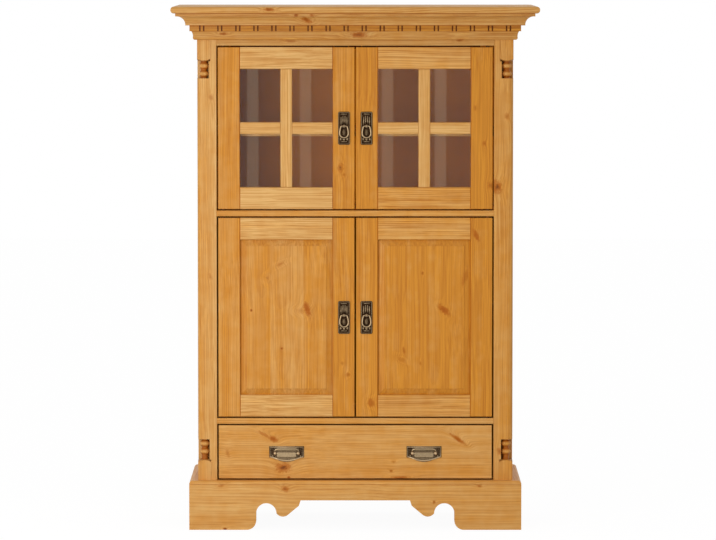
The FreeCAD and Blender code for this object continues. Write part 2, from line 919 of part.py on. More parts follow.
def door_catches():
    """Magnetic catches under the board above each door's free corner."""
    catches = []
    face = door_back + s.striker_thickness + s.catch_gap
    for level in (middle_low, top_low):
        low = (-s.catch_inset - s.catch_width, face, level - s.catch_height)
        high = (as_size(-s.catch_inset), face + s.catch_depth, level)
        catch = block("door_catch", low, high)
        catches += [catch, mirrored("door_catch_right", catch)]
    node(group("door_catches", catches), "door_catches")


def pivot_pin(name, way, edge):
    """Steel pin in the end of the stile, with a collar that holds the door clear."""
    inside = edge - s.pivot_depth * way
    reach = s.pivot_depth + s.door_gap + s.pivot_reach
    low = inside if way > 0 else inside - reach
    shank = rod(name + "_shank", (-pivot_x, pivot_y, low), s.pivot_radius, reach)
    collar_height = s.door_gap - s.collar_play
    collar_low = edge if way > 0 else edge - collar_height
    collar = rod(name + "_collar", (-pivot_x, pivot_y, collar_low), s.collar_radius, collar_height)
    return joined(name, [shank, collar])


def door_fittings(name, low, high):
    pieces = [
        pivot_pin("%s_pivot_%d" % (name, number), way, edge)
        for number, (way, edge) in enumerate(pivot_spots(low, high))
    ]
    strike_low = (-s.catch_inset - s.catch_width, door_back, high - s.catch_height)
    strike_high = (as_size(-s.catch_inset), door_back + s.striker_thickness, high)
    pieces.append(block(name + "_striker", strike_low, strike_high))
    return group(name + "_fittings", pieces)


def pivot_bores(name, low, high):
    """Holes in the ends of the outer stile."""
    bores = []
    for way, edge in pivot_spots(low, high):
        start = edge - s.pivot_depth if way > 0 else edge - s.overrun
        spot = (-pivot_x, pivot_y, start)
        bores.append(rod(name + "_pivot_bore", spot, s.pivot_radius, s.pivot_depth + s.overrun))
    return bores


stile_edges = (
    (-door_outer, -door_outer + s.stile_width),
    (-door_inner - s.stile_width, -door_inner),
)
light_left = -door_outer + s.stile_width
light_right = -door_inner - s.stile_width


def stiles(name, low, high, channel):
    """Both uprights of a door, each with a channel along its inner edge."""
    depth, start, end = channel
    uprights = []
    for number, (left, right) in enumerate(stile_edges):
        upright = board(
            "%s_stile_%d" % (name, number), (left, front, low), (right, door_back, high)
        )
        edge_left = right - depth if number == 0 else left - s.overrun
        edge_right = right + s.overrun if number == 0 else left + depth
        cutter = block(
            "%s_channel_%d" % (name, number),
            (edge_left, start, low - s.overrun),
            (edge_right, end, high + s.overrun),
        )
        tools = [cutter] + (pivot_bores(name, low, high) if number == 0 else [])
        uprights.append(less("%s_upright_%d" % (name, number), upright, tools))
    return group(name + "_stiles", uprights)


def glazed_door(name, low, high):
    """Framed door with one pane behind crossed bars, held by beads."""
    lip = front + s.glass_lip
    rebate = s.glass_rebate
    channel = (rebate, lip, door_back + s.overrun)
    pieces = {"stiles": stiles(name, low, high, channel)}
    light_low, light_high = low + s.rail_width, high - s.rail_width
    rails = []
    for number, (a, b, c, d) in enumerate(
        ((low, light_low, low, light_low - rebate), (light_high, high, light_high + rebate, high))
    ):
        label = "%s_rail_face_%d" % (name, number)
        face = board(label, (light_left, front, a), (light_right, lip, b))
        tail = block(
            "%s_rail_back_%d" % (name, number),
            (light_left - rebate, lip, c),
            (light_right + rebate, door_back, d),
        )
        rails.append(joined("%s_rail_%d" % (name, number), [face, tail]))
    pieces["rails"] = group(name + "_rails", rails)
    middle_x = (light_left + light_right) / 2
    middle_z = (light_low + light_high) / 2
    half_bar = s.muntin_width / 2
    bar_front = front + s.muntin_set_back
    bars = [
        board(
            name + "_upright_bar",
            (middle_x - half_bar, bar_front, light_low),
            (middle_x + half_bar, lip, light_high),
        )
    ]
    for number, (left, right) in enumerate(
        ((light_left, middle_x - half_bar), (middle_x + half_bar, light_right))
    ):
        bars.append(
            board(
                "%s_cross_bar_%d" % (name, number),
                (left, bar_front, middle_z - half_bar),
                (right, lip, middle_z + half_bar),
            )
        )
    pieces["muntins"] = group(name + "_muntins", bars)
    glass_back = lip + s.glass_thickness
    inset = rebate - s.glass_play
    pieces["glass"] = block(
        name + "_pane",
        (light_left - inset, lip, light_low - inset),
        (light_right + inset, glass_back, light_high + inset),
    )
    beads = []
    for number, (left, right) in enumerate(
        ((light_left - rebate, light_left), (light_right, light_right + rebate))
    ):
        beads.append(
            block(
                "%s_bead_upright_%d" % (name, number),
                (left, glass_back, light_low - rebate),
                (right, door_back, light_high + rebate),
            )
        )
    for number, (a, b) in enumerate(
        ((light_low - rebate, light_low), (light_high, light_high + rebate))
    ):
        beads.append(
            block(
                "%s_bead_level_%d" % (name, number),
                (light_left, glass_back, a),
                (light_right, door_back, b),
            )
        )
    pieces["glazing_beads"] = group(name + "_beads", beads)
    return pieces


def raised_panel(name, low, high):
    """Panel with a bevelled margin round a raised field, its edge in the frame's grooves."""
    margin = s.panel_bevel
    groove_face = front + s.glass_lip
    tongue = s.panel_groove - s.panel_play
    edge = block(
        name + "_panel_edge",
        (light_left - tongue, groove_face, low - tongue),
        (light_right + tongue, groove_face + s.panel_edge, high + tongue),
    )
    field_face = front + s.panel_set_back
    bevel_face = field_face + s.panel_step
    bevel = document.addObject("Part::Wedge", name + "_panel_bevel")
    wide, tall = light_right - light_left, high - low
    bind(
        bevel,
        Xmin=margin, Xmax=wide - margin, Zmin=margin, Zmax=tall - margin, Ymin=0,
        X2min=0, X2max=wide, Z2min=0, Z2max=tall, Ymax=groove_face - bevel_face,
    )
    place(bevel, (light_left, bevel_face, low))
    field = block(
        name + "_panel_field",
        (light_left + margin, field_face, low + margin),
        (light_right - margin, bevel_face, high - margin),
    )
    return joined(name + "_panel_solid", [edge, bevel, field])


def panelled_door(name, low, high):
    """Framed door with tenoned rails and a raised panel."""
    groove_face = front + s.glass_lip
    groove_back = groove_face + s.panel_edge
    depth = s.panel_groove
    pieces = {"stiles": stiles(name, low, high, (depth, groove_face, groove_back))}
    light_low, light_high = low + s.rail_width, high - s.rail_width
    rails = []
    for number, (a, b, c, d) in enumerate(
        (
            (low, light_low, light_low - depth, light_low + s.overrun),
            (light_high, high, light_high - s.overrun, light_high + depth),
        )
    ):
        label = "%s_rail_body_%d" % (name, number)
        body = board(label, (light_left, front, a), (light_right, door_back, b))
        tenon = block(
            "%s_tenon_%d" % (name, number),
            (light_left - depth, groove_face, a),
            (light_right + depth, groove_back, b),
        )
        groove = block(
            "%s_rail_groove_%d" % (name, number),
            (light_left - depth - s.overrun, groove_face, c),
            (light_right + depth + s.overrun, groove_back, d),
        )
        solid = joined("%s_rail_%d" % (name, number), [body, tenon])
        rails.append(less("%s_rail_grooved_%d" % (name, number), solid, [groove]))
    pieces["rails"] = group(name + "_rails", rails)
    pieces["panel"] = raised_panel(name, light_low, light_high)
    return pieces


def ball_post(name, spot):
    """Ball on a neck, bored across for a wire, and its bore. The spot is the bore's centre."""
    x, y, z = spot
    ball = document.addObject("Part::Sphere", name + "_ball")
    bind(ball, Radius=s.ball_radius)
    place(ball, spot)
    neck = rod(name + "_neck", (x, y, z), s.ball_neck, s.ball_standoff, "y")
    return [ball, neck]


def bored_plate(name, plate, spots, wire):
    """The plate with its posts, and a bore along x through each ball."""
    pieces, bores = [plate], []
    for number, spot in enumerate(spots):
        pieces += ball_post("%s_post_%d" % (name, number), spot)
        x, y, z = spot
        long = s.ball_radius + s.overrun
        label = "%s_bore_%d" % (name, number)
        bores.append(rod(label, (x - long, y, z), wire + s.wire_clearance, long * 2, "x"))
    return less(name, joined(name + "_solid", pieces), bores)


def ring_plate(name, pivot_z):
    """Tall plate with scooped corners, and the ball that carries the ring."""
    body = document.addObject("PartDesign::Body", name + "_body")
    wide, tall, scoop = s.ring_plate_width, s.ring_plate_height, s.ring_plate_scoop
    steps = [
        (wide - scoop, 0),
        (wide, scoop, scoop, -1),
        (wide, tall - scoop),
        (wide - scoop, tall, scoop, -1),
        (scoop, tall),
        (0, tall - scoop, scoop, -1),
        (0, scoop),
        (scoop, 0, scoop, -1),
    ]
    sketch = draw(sketch_on(body, "XZ_Plane", name + "_outline"), (scoop, 0), steps)
    base = pad(body, sketch, s.plate_thickness, forward=False)
    ease(body, base, on_front, s.plate_bevel)
    centre_z = pivot_z - s.ring_pivot_rise
    place(body, (-s.ring_plate_inset - wide / 2, front - s.plate_thickness, centre_z - tall / 2))
    spot = (as_size(-s.ring_plate_inset), ring_y, pivot_z)
    return bored_plate(name, body, [spot], s.ring_wire)


ring_y = front - s.plate_thickness - s.ball_standoff


def wire_loop(name, spot, radius, start, steps):
    """A bent round wire that follows a path in an upright plane."""
    body = document.addObject("PartDesign::Body", name)
    path = draw(sketch_on(body, "XZ_Plane", name + "_path"), start, steps)
    section = sketch_on(body, "YZ_Plane", name + "_section")
    section.addGeometry(Part.Circle(FreeCAD.Vector(), FreeCAD.Vector(0, 0, 1), radius.number), False)
    section.addConstraint(Sketcher.Constraint("Coincident", 0, 3, -1, 1))
    index = section.addConstraint(Sketcher.Constraint("Radius", 0, radius.number))
    section.setExpression("Constraints[%d]" % index, radius.formula)
    section.setExpression("AttachmentOffset.Base.z", as_size(start[0]).formula)
    pipe = body.newObject("PartDesign::AdditivePipe", name + "_wire")
    pipe.Profile = section
    pipe.Spine = path
    return place(body, spot)


def ring(name, pivot_z):
    """Drop ring: a straight pin through the ball, then a pear-shaped loop below it."""
    pin = s.ball_radius + s.wire_past_ball
    corner, wide, deep = s.ring_corner, s.ring_half_width, s.ring_widest
    inner = wide - corner
    drop = deep - corner
    centre = (inner * inner - pin * pin - drop * drop) / ((inner - pin) * 2)
    flank = wide - centre
    reach = flank - corner
    meet_x = centre + flank * (pin - centre) / reach
    meet_z = -deep + flank * drop / reach
    steps = [
        (pin, 0),
        (meet_x, meet_z, corner, -1),
        (wide, -deep, flank, -1),
        (0, -deep - wide, wide, -1),
        (-wide, -deep, wide, -1),
        (-meet_x, meet_z, flank, -1),
        (-pin, 0, corner, -1),
        (0, 0),
    ]
    spot = (as_size(-s.ring_plate_inset), ring_y, pivot_z)
    return wire_loop(name, spot, s.ring_wire, (0, 0), steps)


def doors():
    """All four doors. The left ones are drawn, the right ones mirrored."""
    kinds = (
        ("upper_door", glazed_door, upper_low, upper_high),
        ("lower_door", panelled_door, lower_low, lower_high),
    )
    for name, maker, low, high in kinds:
        pieces = maker(name, low, high)
        pieces["fittings"] = door_fittings(name, low, high)
        pivot_z = (low + high) / 2 + s.ring_pivot_rise
        pieces["pull_plate"] = ring_plate(name + "_plate", pivot_z)
        pieces["ring"] = ring(name + "_ring_wire", pivot_z)
        for word, piece in pieces.items():
            pair("%s_left_%s" % (name, word), "%s_right_%s" % (name, word), piece)


def drawer_box():
    """Front, sides, back and bottom of the drawer, closed."""
    half_front = door_outer
    outer = half_opening - s.drawer_side_play
    inner = outer - s.drawer_side_thickness
    side_low = drawer_low + s.drawer_side_lift
    side_high = side_low + s.drawer_side_height
    end = door_back + s.drawer_length
    bottom_low = side_low + s.drawer_bottom_lift
    bottom_high = bottom_low + s.drawer_bottom_thickness
    groove = s.drawer_groove
    channel = block(
        "drawer_groove",
        (-inner - groove, door_back - groove, bottom_low),
        (inner + groove, end + s.overrun, bottom_high),
    )
    face_high = (half_front, door_back, drawer_high)
    face = board("drawer_front_board", (-half_front, front, drawer_low), face_high)
    node(less("drawer_front", face, [channel]), "drawer_front")
    side = block("drawer_side", (-outer, door_back, side_low), (-inner, end, side_high))
    side = less("drawer_side_grooved", side, [channel])
    rear_low = (-inner, end - s.drawer_side_thickness, bottom_high)
    rear = block("drawer_rear", rear_low, (inner, end, side_high - s.drawer_back_drop))
    sides = group("drawer_sides_and_back", [side, mirrored("drawer_side_right", side), rear])
    node(sides, "drawer_sides_and_back")
    bottom = block(
        "drawer_bottom",
        (-inner - groove, door_back - groove, bottom_low),
        (inner + groove, end, bottom_high),
    )
    node(bottom, "drawer_bottom")
    runner = drawer_runner(outer, side_low)
    runners = group("drawer_runners", [runner, mirrored("drawer_runner_right", runner)])
    node(runners, "drawer_runners")


def drawer_runner(outer, side_low):
    """Stepped rail on the floor of the case: a ledge under the drawer side, a guide beside it."""
    body = document.addObject("PartDesign::Body", "drawer_runner_body")
    wide = s.runner_ledge
    ledge = side_low - s.runner_gap - plinth_top
    guide = side_inner - outer - s.runner_play
    high = ledge + s.runner_guide_height
    steps = [(wide, 0), (wide, ledge), (guide, ledge), (guide, high), (0, high), (0, 0)]
    sketch = draw(sketch_on(body, "XZ_Plane", "runner_section"), (0, 0), steps)
    pad(body, sketch, back_face - s.runner_end_gap - behind_post, forward=False)
    return place(body, (-side_inner, behind_post, plinth_top))


def bail_plate(name, centre_x):
    """Wide plate with a curved lower edge and two ball posts."""
    body = document.addObject("PartDesign::Body", name + "_body")
    wide, tall = s.bail_plate_width, s.bail_plate_height
    side_low = tall - s.bail_plate_side
    shoulder, dip = s.bail_plate_shoulder, s.bail_plate_dip
    hollow, swell = wide / 2, dip / 2
    span = wide - shoulder * 2
    belly = span * span / (swell * 8) + swell / 2
    steps = [
        (wide - shoulder, swell, belly, 1),
        (wide, side_low, hollow, -1),
        (wide, tall),
        (0, tall),
        (0, side_low),
        (shoulder, swell, hollow, -1),
    ]
    sketch = draw(sketch_on(body, "XZ_Plane", name + "_outline"), (shoulder, swell), steps)
    base = pad(body, sketch, s.plate_thickness, forward=False)
    ease(body, base, straight_front, s.plate_bevel)
    low_z = drawer_low + s.bail_plate_lift
    place(body, (centre_x - wide / 2, front - s.plate_thickness, low_z))
    half = s.bail_post_spacing / 2
    spots = [(centre_x + half * side, ring_y, low_z + s.bail_pivot_lift) for side in (-1, 1)]
    return bored_plate(name, body, spots, s.bail_pin)


def bail(name, centre_x):
    """Broad flat grip with rounded corners, on a round pin that turns in both posts."""
    body = document.addObject("PartDesign::Body", name + "_grip")
    corner, wide, tall = s.grip_corner, s.grip_length, s.grip_rise + s.grip_drop
    steps = [
        (wide - corner, 0),
        (wide, corner, corner, 1),
        (wide, tall - corner),
        (wide - corner, tall, corner, 1),
        (corner, tall),
        (0, tall - corner, corner, 1),
        (0, corner),
        (corner, 0, corner, 1),
    ]
    sketch = draw(sketch_on(body, "XZ_Plane", name + "_outline"), (corner, 0), steps)
    thick = s.grip_thickness
    base = pad(body, sketch, thick, forward=False)

    def round_the_face(edge):
        depths = [vertex.Y for vertex in edge.Vertexes]
        return near(depths[0], depths[-1])

    ease(body, base, round_the_face, s.grip_round, "Fillet")
    pivot_z = drawer_low + s.bail_plate_lift + s.bail_pivot_lift
    place(body, (centre_x - wide / 2, ring_y - thick / 2, pivot_z - s.grip_drop))
    reach = s.bail_post_spacing / 2 + s.ball_radius - s.bail_pin_short
    pin = rod(name + "_pin", (centre_x - reach, ring_y, pivot_z), s.bail_pin, reach * 2, "x")
    return joined(name, [body, pin])


def drawer_pulls():
    centre_x = -(door_outer + door_inner) / 2
    plate = bail_plate("bail_plate", centre_x)
    plates = group("drawer_pull_plates", [plate, mirrored("bail_plate_right", plate)])
    node(plates, "drawer_pull_plates")
    pair("bail_left", "bail_right", bail("bail_wire_left", centre_x))


def check_and_write():
    """Stop on any failed object, then write one file for each sub-part."""
    document.recompute()
    for thing in document.Objects:
        if "Invalid" in thing.State or "Error" in thing.State:
            raise RuntimeError("%s failed: %s" % (thing.Label, thing.State))
    os.makedirs("parts", exist_ok=True)
    for thing in nodes:
        shape = thing.Shape
        if shape.isNull() or not shape.isValid() or shape.Volume <= 0:
            raise RuntimeError("%s has no valid solid" % thing.Label)
        shape.exportStep("parts/%s.step" % thing.Label)
    print("%d sub-parts written" % len(nodes))


corner_post()
turned_column()
side_panel()
shelves()
horizontal_boards()
back_panel()
header_frame()
mouldings()
cornice_cap()
plinth()
pivot_sockets()
door_catches()
doors()
drawer_box()
drawer_pulls()
check_and_write()
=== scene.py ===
"""Finishes of a pine highboard: waxed knotty pine, antique bronze pulls, glass panes and a white studio."""

import math
import bmesh
import bpy
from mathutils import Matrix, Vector


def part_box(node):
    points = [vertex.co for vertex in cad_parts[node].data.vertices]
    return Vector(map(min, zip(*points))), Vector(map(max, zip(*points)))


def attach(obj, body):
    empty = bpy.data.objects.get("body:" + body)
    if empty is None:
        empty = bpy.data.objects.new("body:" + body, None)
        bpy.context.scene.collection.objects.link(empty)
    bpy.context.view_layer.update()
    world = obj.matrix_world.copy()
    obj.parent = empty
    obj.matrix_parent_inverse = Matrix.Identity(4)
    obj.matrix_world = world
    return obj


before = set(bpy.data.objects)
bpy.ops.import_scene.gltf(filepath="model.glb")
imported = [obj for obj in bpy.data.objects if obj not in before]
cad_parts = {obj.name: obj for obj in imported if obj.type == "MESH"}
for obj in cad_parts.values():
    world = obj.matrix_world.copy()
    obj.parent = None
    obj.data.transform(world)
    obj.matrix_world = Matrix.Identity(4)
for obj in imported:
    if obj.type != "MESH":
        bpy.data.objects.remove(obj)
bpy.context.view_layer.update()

bl_info = {
    "name": "Pine highboard",
    "version": (1, 0, 0),
    "blender": (4, 5, 0),
    "location": "View3D > Sidebar > Highboard",
    "description": "Finishes the boards, pulls and panes of a highboard and sets its studio",
    "category": "Object",
}

MM = 0.001


def colour(code):
    """Linear colour of an sRGB hex value."""
    parts = [int(code[place : place + 2], 16) / 255 for place in (1, 3, 5)]
    return [part / 12.92 if part <= 0.04045 else ((part + 0.055) / 1.055) ** 2.4 for part in parts]


def opaque(value):
    return (*value, 1)


def front_plane():
    """The plane of the doors' and the drawer's faces."""
    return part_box("drawer_front")[0].y


def add(tree, kind, sockets=None, **settings):
    """Adds a node with its settings, links or fills its inputs, and gives its outputs."""
    node = tree.nodes.new(kind)
    for name, value in settings.items():
        setattr(node, name, value)
    for name, value in (sockets or {}).items():
        if isinstance(value, bpy.types.NodeSocket):
            tree.links.new(value, node.inputs[name])
        else:
            node.inputs[name].default_value = value
    return node.outputs


def open_tree(owner):
    """The empty node tree of a new material or world."""
    owner.use_nodes = True
    owner.node_tree.nodes.clear()
    return owner.node_tree


def open_group(name, inputs, outputs):
    """An empty node group with named sockets, and what it is given."""
    tree = bpy.data.node_groups.new(name, "ShaderNodeTree")
    for way, sockets in (("INPUT", inputs), ("OUTPUT", outputs)):
        for word, kind in sockets:
            tree.interface.new_socket(word, in_out=way, socket_type="NodeSocket" + kind)
    return tree, tree.nodes.new("NodeGroupInput").outputs


# Sizes and colours


def finish_colour(name, description, code):
    """A colour setting, with its default as an sRGB hex value."""
    return bpy.props.FloatVectorProperty(
        name=name, description=description, subtype="COLOR", default=colour(code), min=0, max=1)


class HighboardPine(bpy.types.PropertyGroup):
    pale_early: finish_colour("Pale early wood", "Spring growth of the lightest boards", "#E1B572")
    pale_late: finish_colour("Pale late wood", "Summer growth of the lightest boards", "#C58B44")
    deep_early: finish_colour("Deep early wood", "Spring growth of the darkest boards", "#DC962F")
    deep_late: finish_colour("Deep late wood", "Summer growth of the darkest boards", "#AE6616")
    knot_rim: finish_colour("Knot", "Resinous wood of a knot", "#AC5A00")
    knot_core: finish_colour("Knot core", "Bark and heart of a knot", "#562600")
    ring_width: bpy.props.FloatProperty(
        name="Ring width", description="One year's growth", default=5.5 * MM, min=0.5 * MM, unit="LENGTH")
    fibre_width: bpy.props.FloatProperty(
        name="Fibre width", description="Streaks along the grain", default=3.6 * MM, min=0.2 * MM,
        unit="LENGTH")
    sheen: bpy.props.FloatProperty(
        name="Wax roughness", description="Roughness of the rubbed wax", default=0.46, min=0, max=1)


class HighboardBronze(bpy.types.PropertyGroup):
    patina: finish_colour("Patina", "Brown finish left in the hollows", "#2E1D10")
    worn: finish_colour("Worn metal", "Metal rubbed bright on the high places", "#C8AE88")
    bead_width: bpy.props.FloatProperty(
        name="Bead width", description="Raised line round a plate", default=1.6 * MM, min=0, unit="LENGTH")
    bead_height: bpy.props.FloatProperty(
        name="Bead height", description="How far the cast relief stands up", default=0.9 * MM, min=0,
        unit="LENGTH")


class HighboardGlass(bpy.types.PropertyGroup):
    tint: finish_colour("Glass", "Colour of the panes", "#FCFEFD")
    polish: bpy.props.FloatProperty(
        name="Pane roughness", description="Roughness of the panes", default=0.01, min=0, max=1)


class HighboardStudio(bpy.types.PropertyGroup):
    sky: bpy.props.FloatProperty(
        name="Room light", description="Light of the white ceiling", default=0.69, min=0)
    low: bpy.props.FloatProperty(
        name="Light from below", description="Light that the floor throws back", default=0.26, min=0)
    key: bpy.props.FloatProperty(
        name="Key light", description="Large soft light at the left", default=39, min=0, unit="POWER")
    fill: bpy.props.FloatProperty(
        name="Fill light", description="Weaker soft light at the right", default=6, min=0, unit="POWER")
    shadow: bpy.props.FloatProperty(
        name="Floor shadow", description="How much of its shadow the white floor shows", default=0.1,
        min=0, max=1)
    # Colour of the cloth's own faint glow: a painted dark reflection
    flag: finish_colour("Flag", "Dark cloth before the doors that the panes mirror", "#2A2622")


# Pine

# Lengths in millimetres
HEART_ASIDE = 28  # how far a stave's heart lies from its middle, at most
HEART_DEPTHS = (14, 60)  # how far behind the face the heart lies
BEND_LENGTH = 420  # length of trunk over which it bends
BEND_ACROSS = 7
BEND_THROUGH = 14
FIBRE_STRETCH = 1 / 125  # a fibre's width as a share of its length
STAVE_SHIFT = 37  # brings other fibres into the next stave
BAND_WIDTH = 26  # broad bands of tone along the grain
SOAKED_WIDTH = 34  # patches that took more oil
RAGGED_WIDTH = 7  # waves in a knot's outline
JOINT_REACH = 1.6  # how far oil creeps from a joint
JOINT_LINE = 0.4  # half the width of the darkest line
HOLLOW_RADII = (13.2, 10.5)  # a turning's radius where the painted shade in its hollows starts, and where it is full
DEEP_HOLLOW_RADII = (11.0, 8.6)  # the same for the darkest painted shade
NEXT_BOARD = 5.7  # step from one board's seed to the next one's
END_GRAIN = "#8A5420"  # oiled end grain
PAINTED_SHADE_COLOUR = "#3A2A16"  # painted shade of the cornice's overhang


def ring_group(pine):
    """Colour of pine at a point in its board, in mm: X across the face, Y through it, Z along the grain."""
    tree, sockets = open_group(
        "Pine grain",
        [("Board", "Vector"), ("Seed", "Float"), ("Stave", "Float"), ("Edge", "Float"), ("Depth", "Float"),
         ("Figure", "Float"), ("Swirl", "Float"), ("Knot", "Float"), ("Core", "Float"), ("End", "Float")],
        [("Color", "Color"), ("Roughness", "Float"), ("Height", "Float")],
    )
    place = add(tree, "ShaderNodeSeparateXYZ", {0: sockets["Board"]})
    # Glued staves: each has its own heart, slope and tone
    shifted = add(tree, "ShaderNodeMath", {0: place["X"], 1: sockets["Edge"]}, operation="SUBTRACT")[0]
    counted = add(tree, "ShaderNodeMath", {0: shifted, 1: sockets["Stave"]}, operation="DIVIDE")[0]
    stave = add(tree, "ShaderNodeMath", {0: counted}, operation="FLOOR")[0]
    middle = add(tree, "ShaderNodeMath", {0: stave, 1: 0.5}, operation="ADD")[0]
    middle = add(tree, "ShaderNodeMath", {0: middle, 1: sockets["Stave"], 2: sockets["Edge"]},
                 operation="MULTIPLY_ADD")[0]
    pair = add(tree, "ShaderNodeCombineXYZ", {0: stave, 1: sockets["Seed"]})[0]
    chance = add(tree, "ShaderNodeTexWhiteNoise", {"Vector": pair}, noise_dimensions="2D")
    lot = add(tree, "ShaderNodeSeparateColor", {0: chance["Color"]})
    heart = add(tree, "ShaderNodeMapRange", {0: lot[0], 3: -HEART_ASIDE, 4: HEART_ASIDE})[0]
    heart = add(tree, "ShaderNodeMath", {0: heart, 1: middle}, operation="ADD")[0]
    slope = add(tree, "ShaderNodeMapRange", {0: lot[1], 3: -0.03, 4: 0.03})[0]
    depth = add(tree, "ShaderNodeMapRange", {0: lot[2], 3: HEART_DEPTHS[0], 4: HEART_DEPTHS[1]})[0]
    # The trunk bends a little along the board
    along = add(tree, "ShaderNodeMath", {0: place["Z"], 1: 1 / BEND_LENGTH}, operation="MULTIPLY")[0]
    bend_at = add(tree, "ShaderNodeCombineXYZ", {0: along, 1: sockets["Seed"], 2: stave})[0]
    bend = add(tree, "ShaderNodeTexNoise", {"Vector": bend_at, "Scale": 1.0, "Detail": 2.0})
    bends = add(tree, "ShaderNodeSeparateColor", {0: bend["Color"]})
    across_bend = add(tree, "ShaderNodeMapRange", {0: bends[0], 3: -BEND_ACROSS, 4: BEND_ACROSS})[0]
    depth_bend = add(tree, "ShaderNodeMapRange", {0: bends[1], 3: -BEND_THROUGH, 4: BEND_THROUGH})[0]
    left = add(tree, "ShaderNodeMath", {0: place["X"], 1: heart}, operation="SUBTRACT")[0]
    left = add(tree, "ShaderNodeMath", {0: left, 1: across_bend}, operation="ADD")[0]
    down = add(tree, "ShaderNodeMath", {0: place["Z"], 1: slope, 2: depth}, operation="MULTIPLY_ADD")[0]
    down = add(tree, "ShaderNodeMath", {0: down, 1: depth_bend}, operation="ADD")[0]
    down = add(tree, "ShaderNodeMath", {0: down, 1: place["Y"]}, operation="ADD")[0]
    spot = add(tree, "ShaderNodeCombineXYZ", {0: left, 1: down})[0]
    radius = add(tree, "ShaderNodeVectorMath", {0: spot}, operation="LENGTH")["Value"]
    radius = add(tree, "ShaderNodeMath", {0: radius, 1: sockets["Swirl"]}, operation="ADD")[0]
    # Years: a slow rise to the late wood, then a sharp end
    year = add(tree, "ShaderNodeMath", {0: radius, 1: 1 / (pine.ring_width / MM)}, operation="MULTIPLY")[0]
    year = add(tree, "ShaderNodeMath", {0: year}, operation="FRACT")[0]
    late = add(tree, "ShaderNodeMapRange", {0: year, 1: 0.25, 2: 0.9}, interpolation_type="SMOOTHSTEP")[0]
    # Fibres, drawn as wide as a pixel of the picture needs
    pulled = add(tree, "ShaderNodeMath", {0: sockets["Swirl"], 1: 0.7, 2: left}, operation="MULTIPLY_ADD")[0]
    pulled = add(tree, "ShaderNodeMath", {0: stave, 1: STAVE_SHIFT, 2: pulled}, operation="MULTIPLY_ADD")[0]
    slow = add(tree, "ShaderNodeMath", {0: place["Z"], 1: FIBRE_STRETCH}, operation="MULTIPLY")[0]
    fibre_at = add(tree, "ShaderNodeCombineXYZ", {0: pulled, 1: down, 2: slow})[0]
    fibre = add(tree, "ShaderNodeTexNoise", {"Vector": fibre_at, "Scale": 1 / (pine.fibre_width / MM),
                                             "Detail": 4.0, "Roughness": 0.62})[0]
    band = add(tree, "ShaderNodeTexNoise", {"Vector": fibre_at, "Scale": 1 / BAND_WIDTH, "Detail": 2.0})[0]
    streak = add(tree, "ShaderNodeMapRange", {0: fibre, 1: 0.34, 2: 0.66, 3: -0.55, 4: 0.55})[0]
    streak = add(tree, "ShaderNodeMath", {0: late, 1: 0.25, 2: streak}, operation="MULTIPLY_ADD")[0]
    mixed = add(tree, "ShaderNodeMath", {0: streak, 1: sockets["Figure"], 2: 0.41}, operation="MULTIPLY_ADD",
                use_clamp=True)[0]
    # Tone of the stave, of broad bands in it, and of patches where it took more oil
    tone = add(tree, "ShaderNodeMapRange", {0: band, 1: 0.3, 2: 0.7, 3: -0.24, 4: 0.24})[0]
    tone = add(tree, "ShaderNodeMath", {0: tone, 1: sockets["Depth"]}, operation="ADD")[0]
    soaked = add(tree, "ShaderNodeTexNoise",
                 {"Vector": sockets["Board"], "Scale": 1 / SOAKED_WIDTH, "Detail": 2.0})[0]
    soaked = add(tree, "ShaderNodeMapRange", {0: soaked, 1: 0.3, 2: 0.7, 3: -0.14, 4: 0.14})[0]
    tone = add(tree, "ShaderNodeMath", {0: tone, 1: soaked}, operation="ADD")[0]
    luck = add(tree, "ShaderNodeMapRange", {0: chance["Value"], 3: -0.12, 4: 0.12})[0]
    tone = add(tree, "ShaderNodeMath", {0: tone, 1: luck}, operation="ADD", use_clamp=True)[0]
    early = add(tree, "ShaderNodeMix", {0: tone, 6: opaque(pine.pale_early), 7: opaque(pine.deep_early)},
                data_type="RGBA")[2]
    summer = add(tree, "ShaderNodeMix", {0: tone, 6: opaque(pine.pale_late), 7: opaque(pine.deep_late)},
                 data_type="RGBA")[2]
    wood = add(tree, "ShaderNodeMix", {0: mixed, 6: early, 7: summer}, data_type="RGBA")[2]
    # End grain drinks more oil
    dark = add(tree, "ShaderNodeMapRange", {0: sockets["End"], 1: 0.1, 2: 1.0, 3: 0.0, 4: 0.55})[0]
    wood = add(tree, "ShaderNodeMix", {0: dark, 6: wood, 7: opaque(colour(END_GRAIN))}, data_type="RGBA")[2]
    wood = add(tree, "ShaderNodeMix", {0: sockets["Knot"], 6: wood, 7: opaque(pine.knot_rim)},
               data_type="RGBA")[2]
    wood = add(tree, "ShaderNodeMix", {0: sockets["Core"], 6: wood, 7: opaque(pine.knot_core)},
               data_type="RGBA")[2]
    rough = add(tree, "ShaderNodeMapRange",
                {0: fibre, 1: 0.3, 2: 0.7, 3: pine.sheen - 0.06, 4: pine.sheen + 0.08})[0]
    height = add(tree, "ShaderNodeMath", {0: late, 1: 0.5, 2: fibre}, operation="MULTIPLY_ADD")[0]
    add(tree, "NodeGroupOutput", {"Color": wood, "Roughness": rough, "Height": height})
    return tree


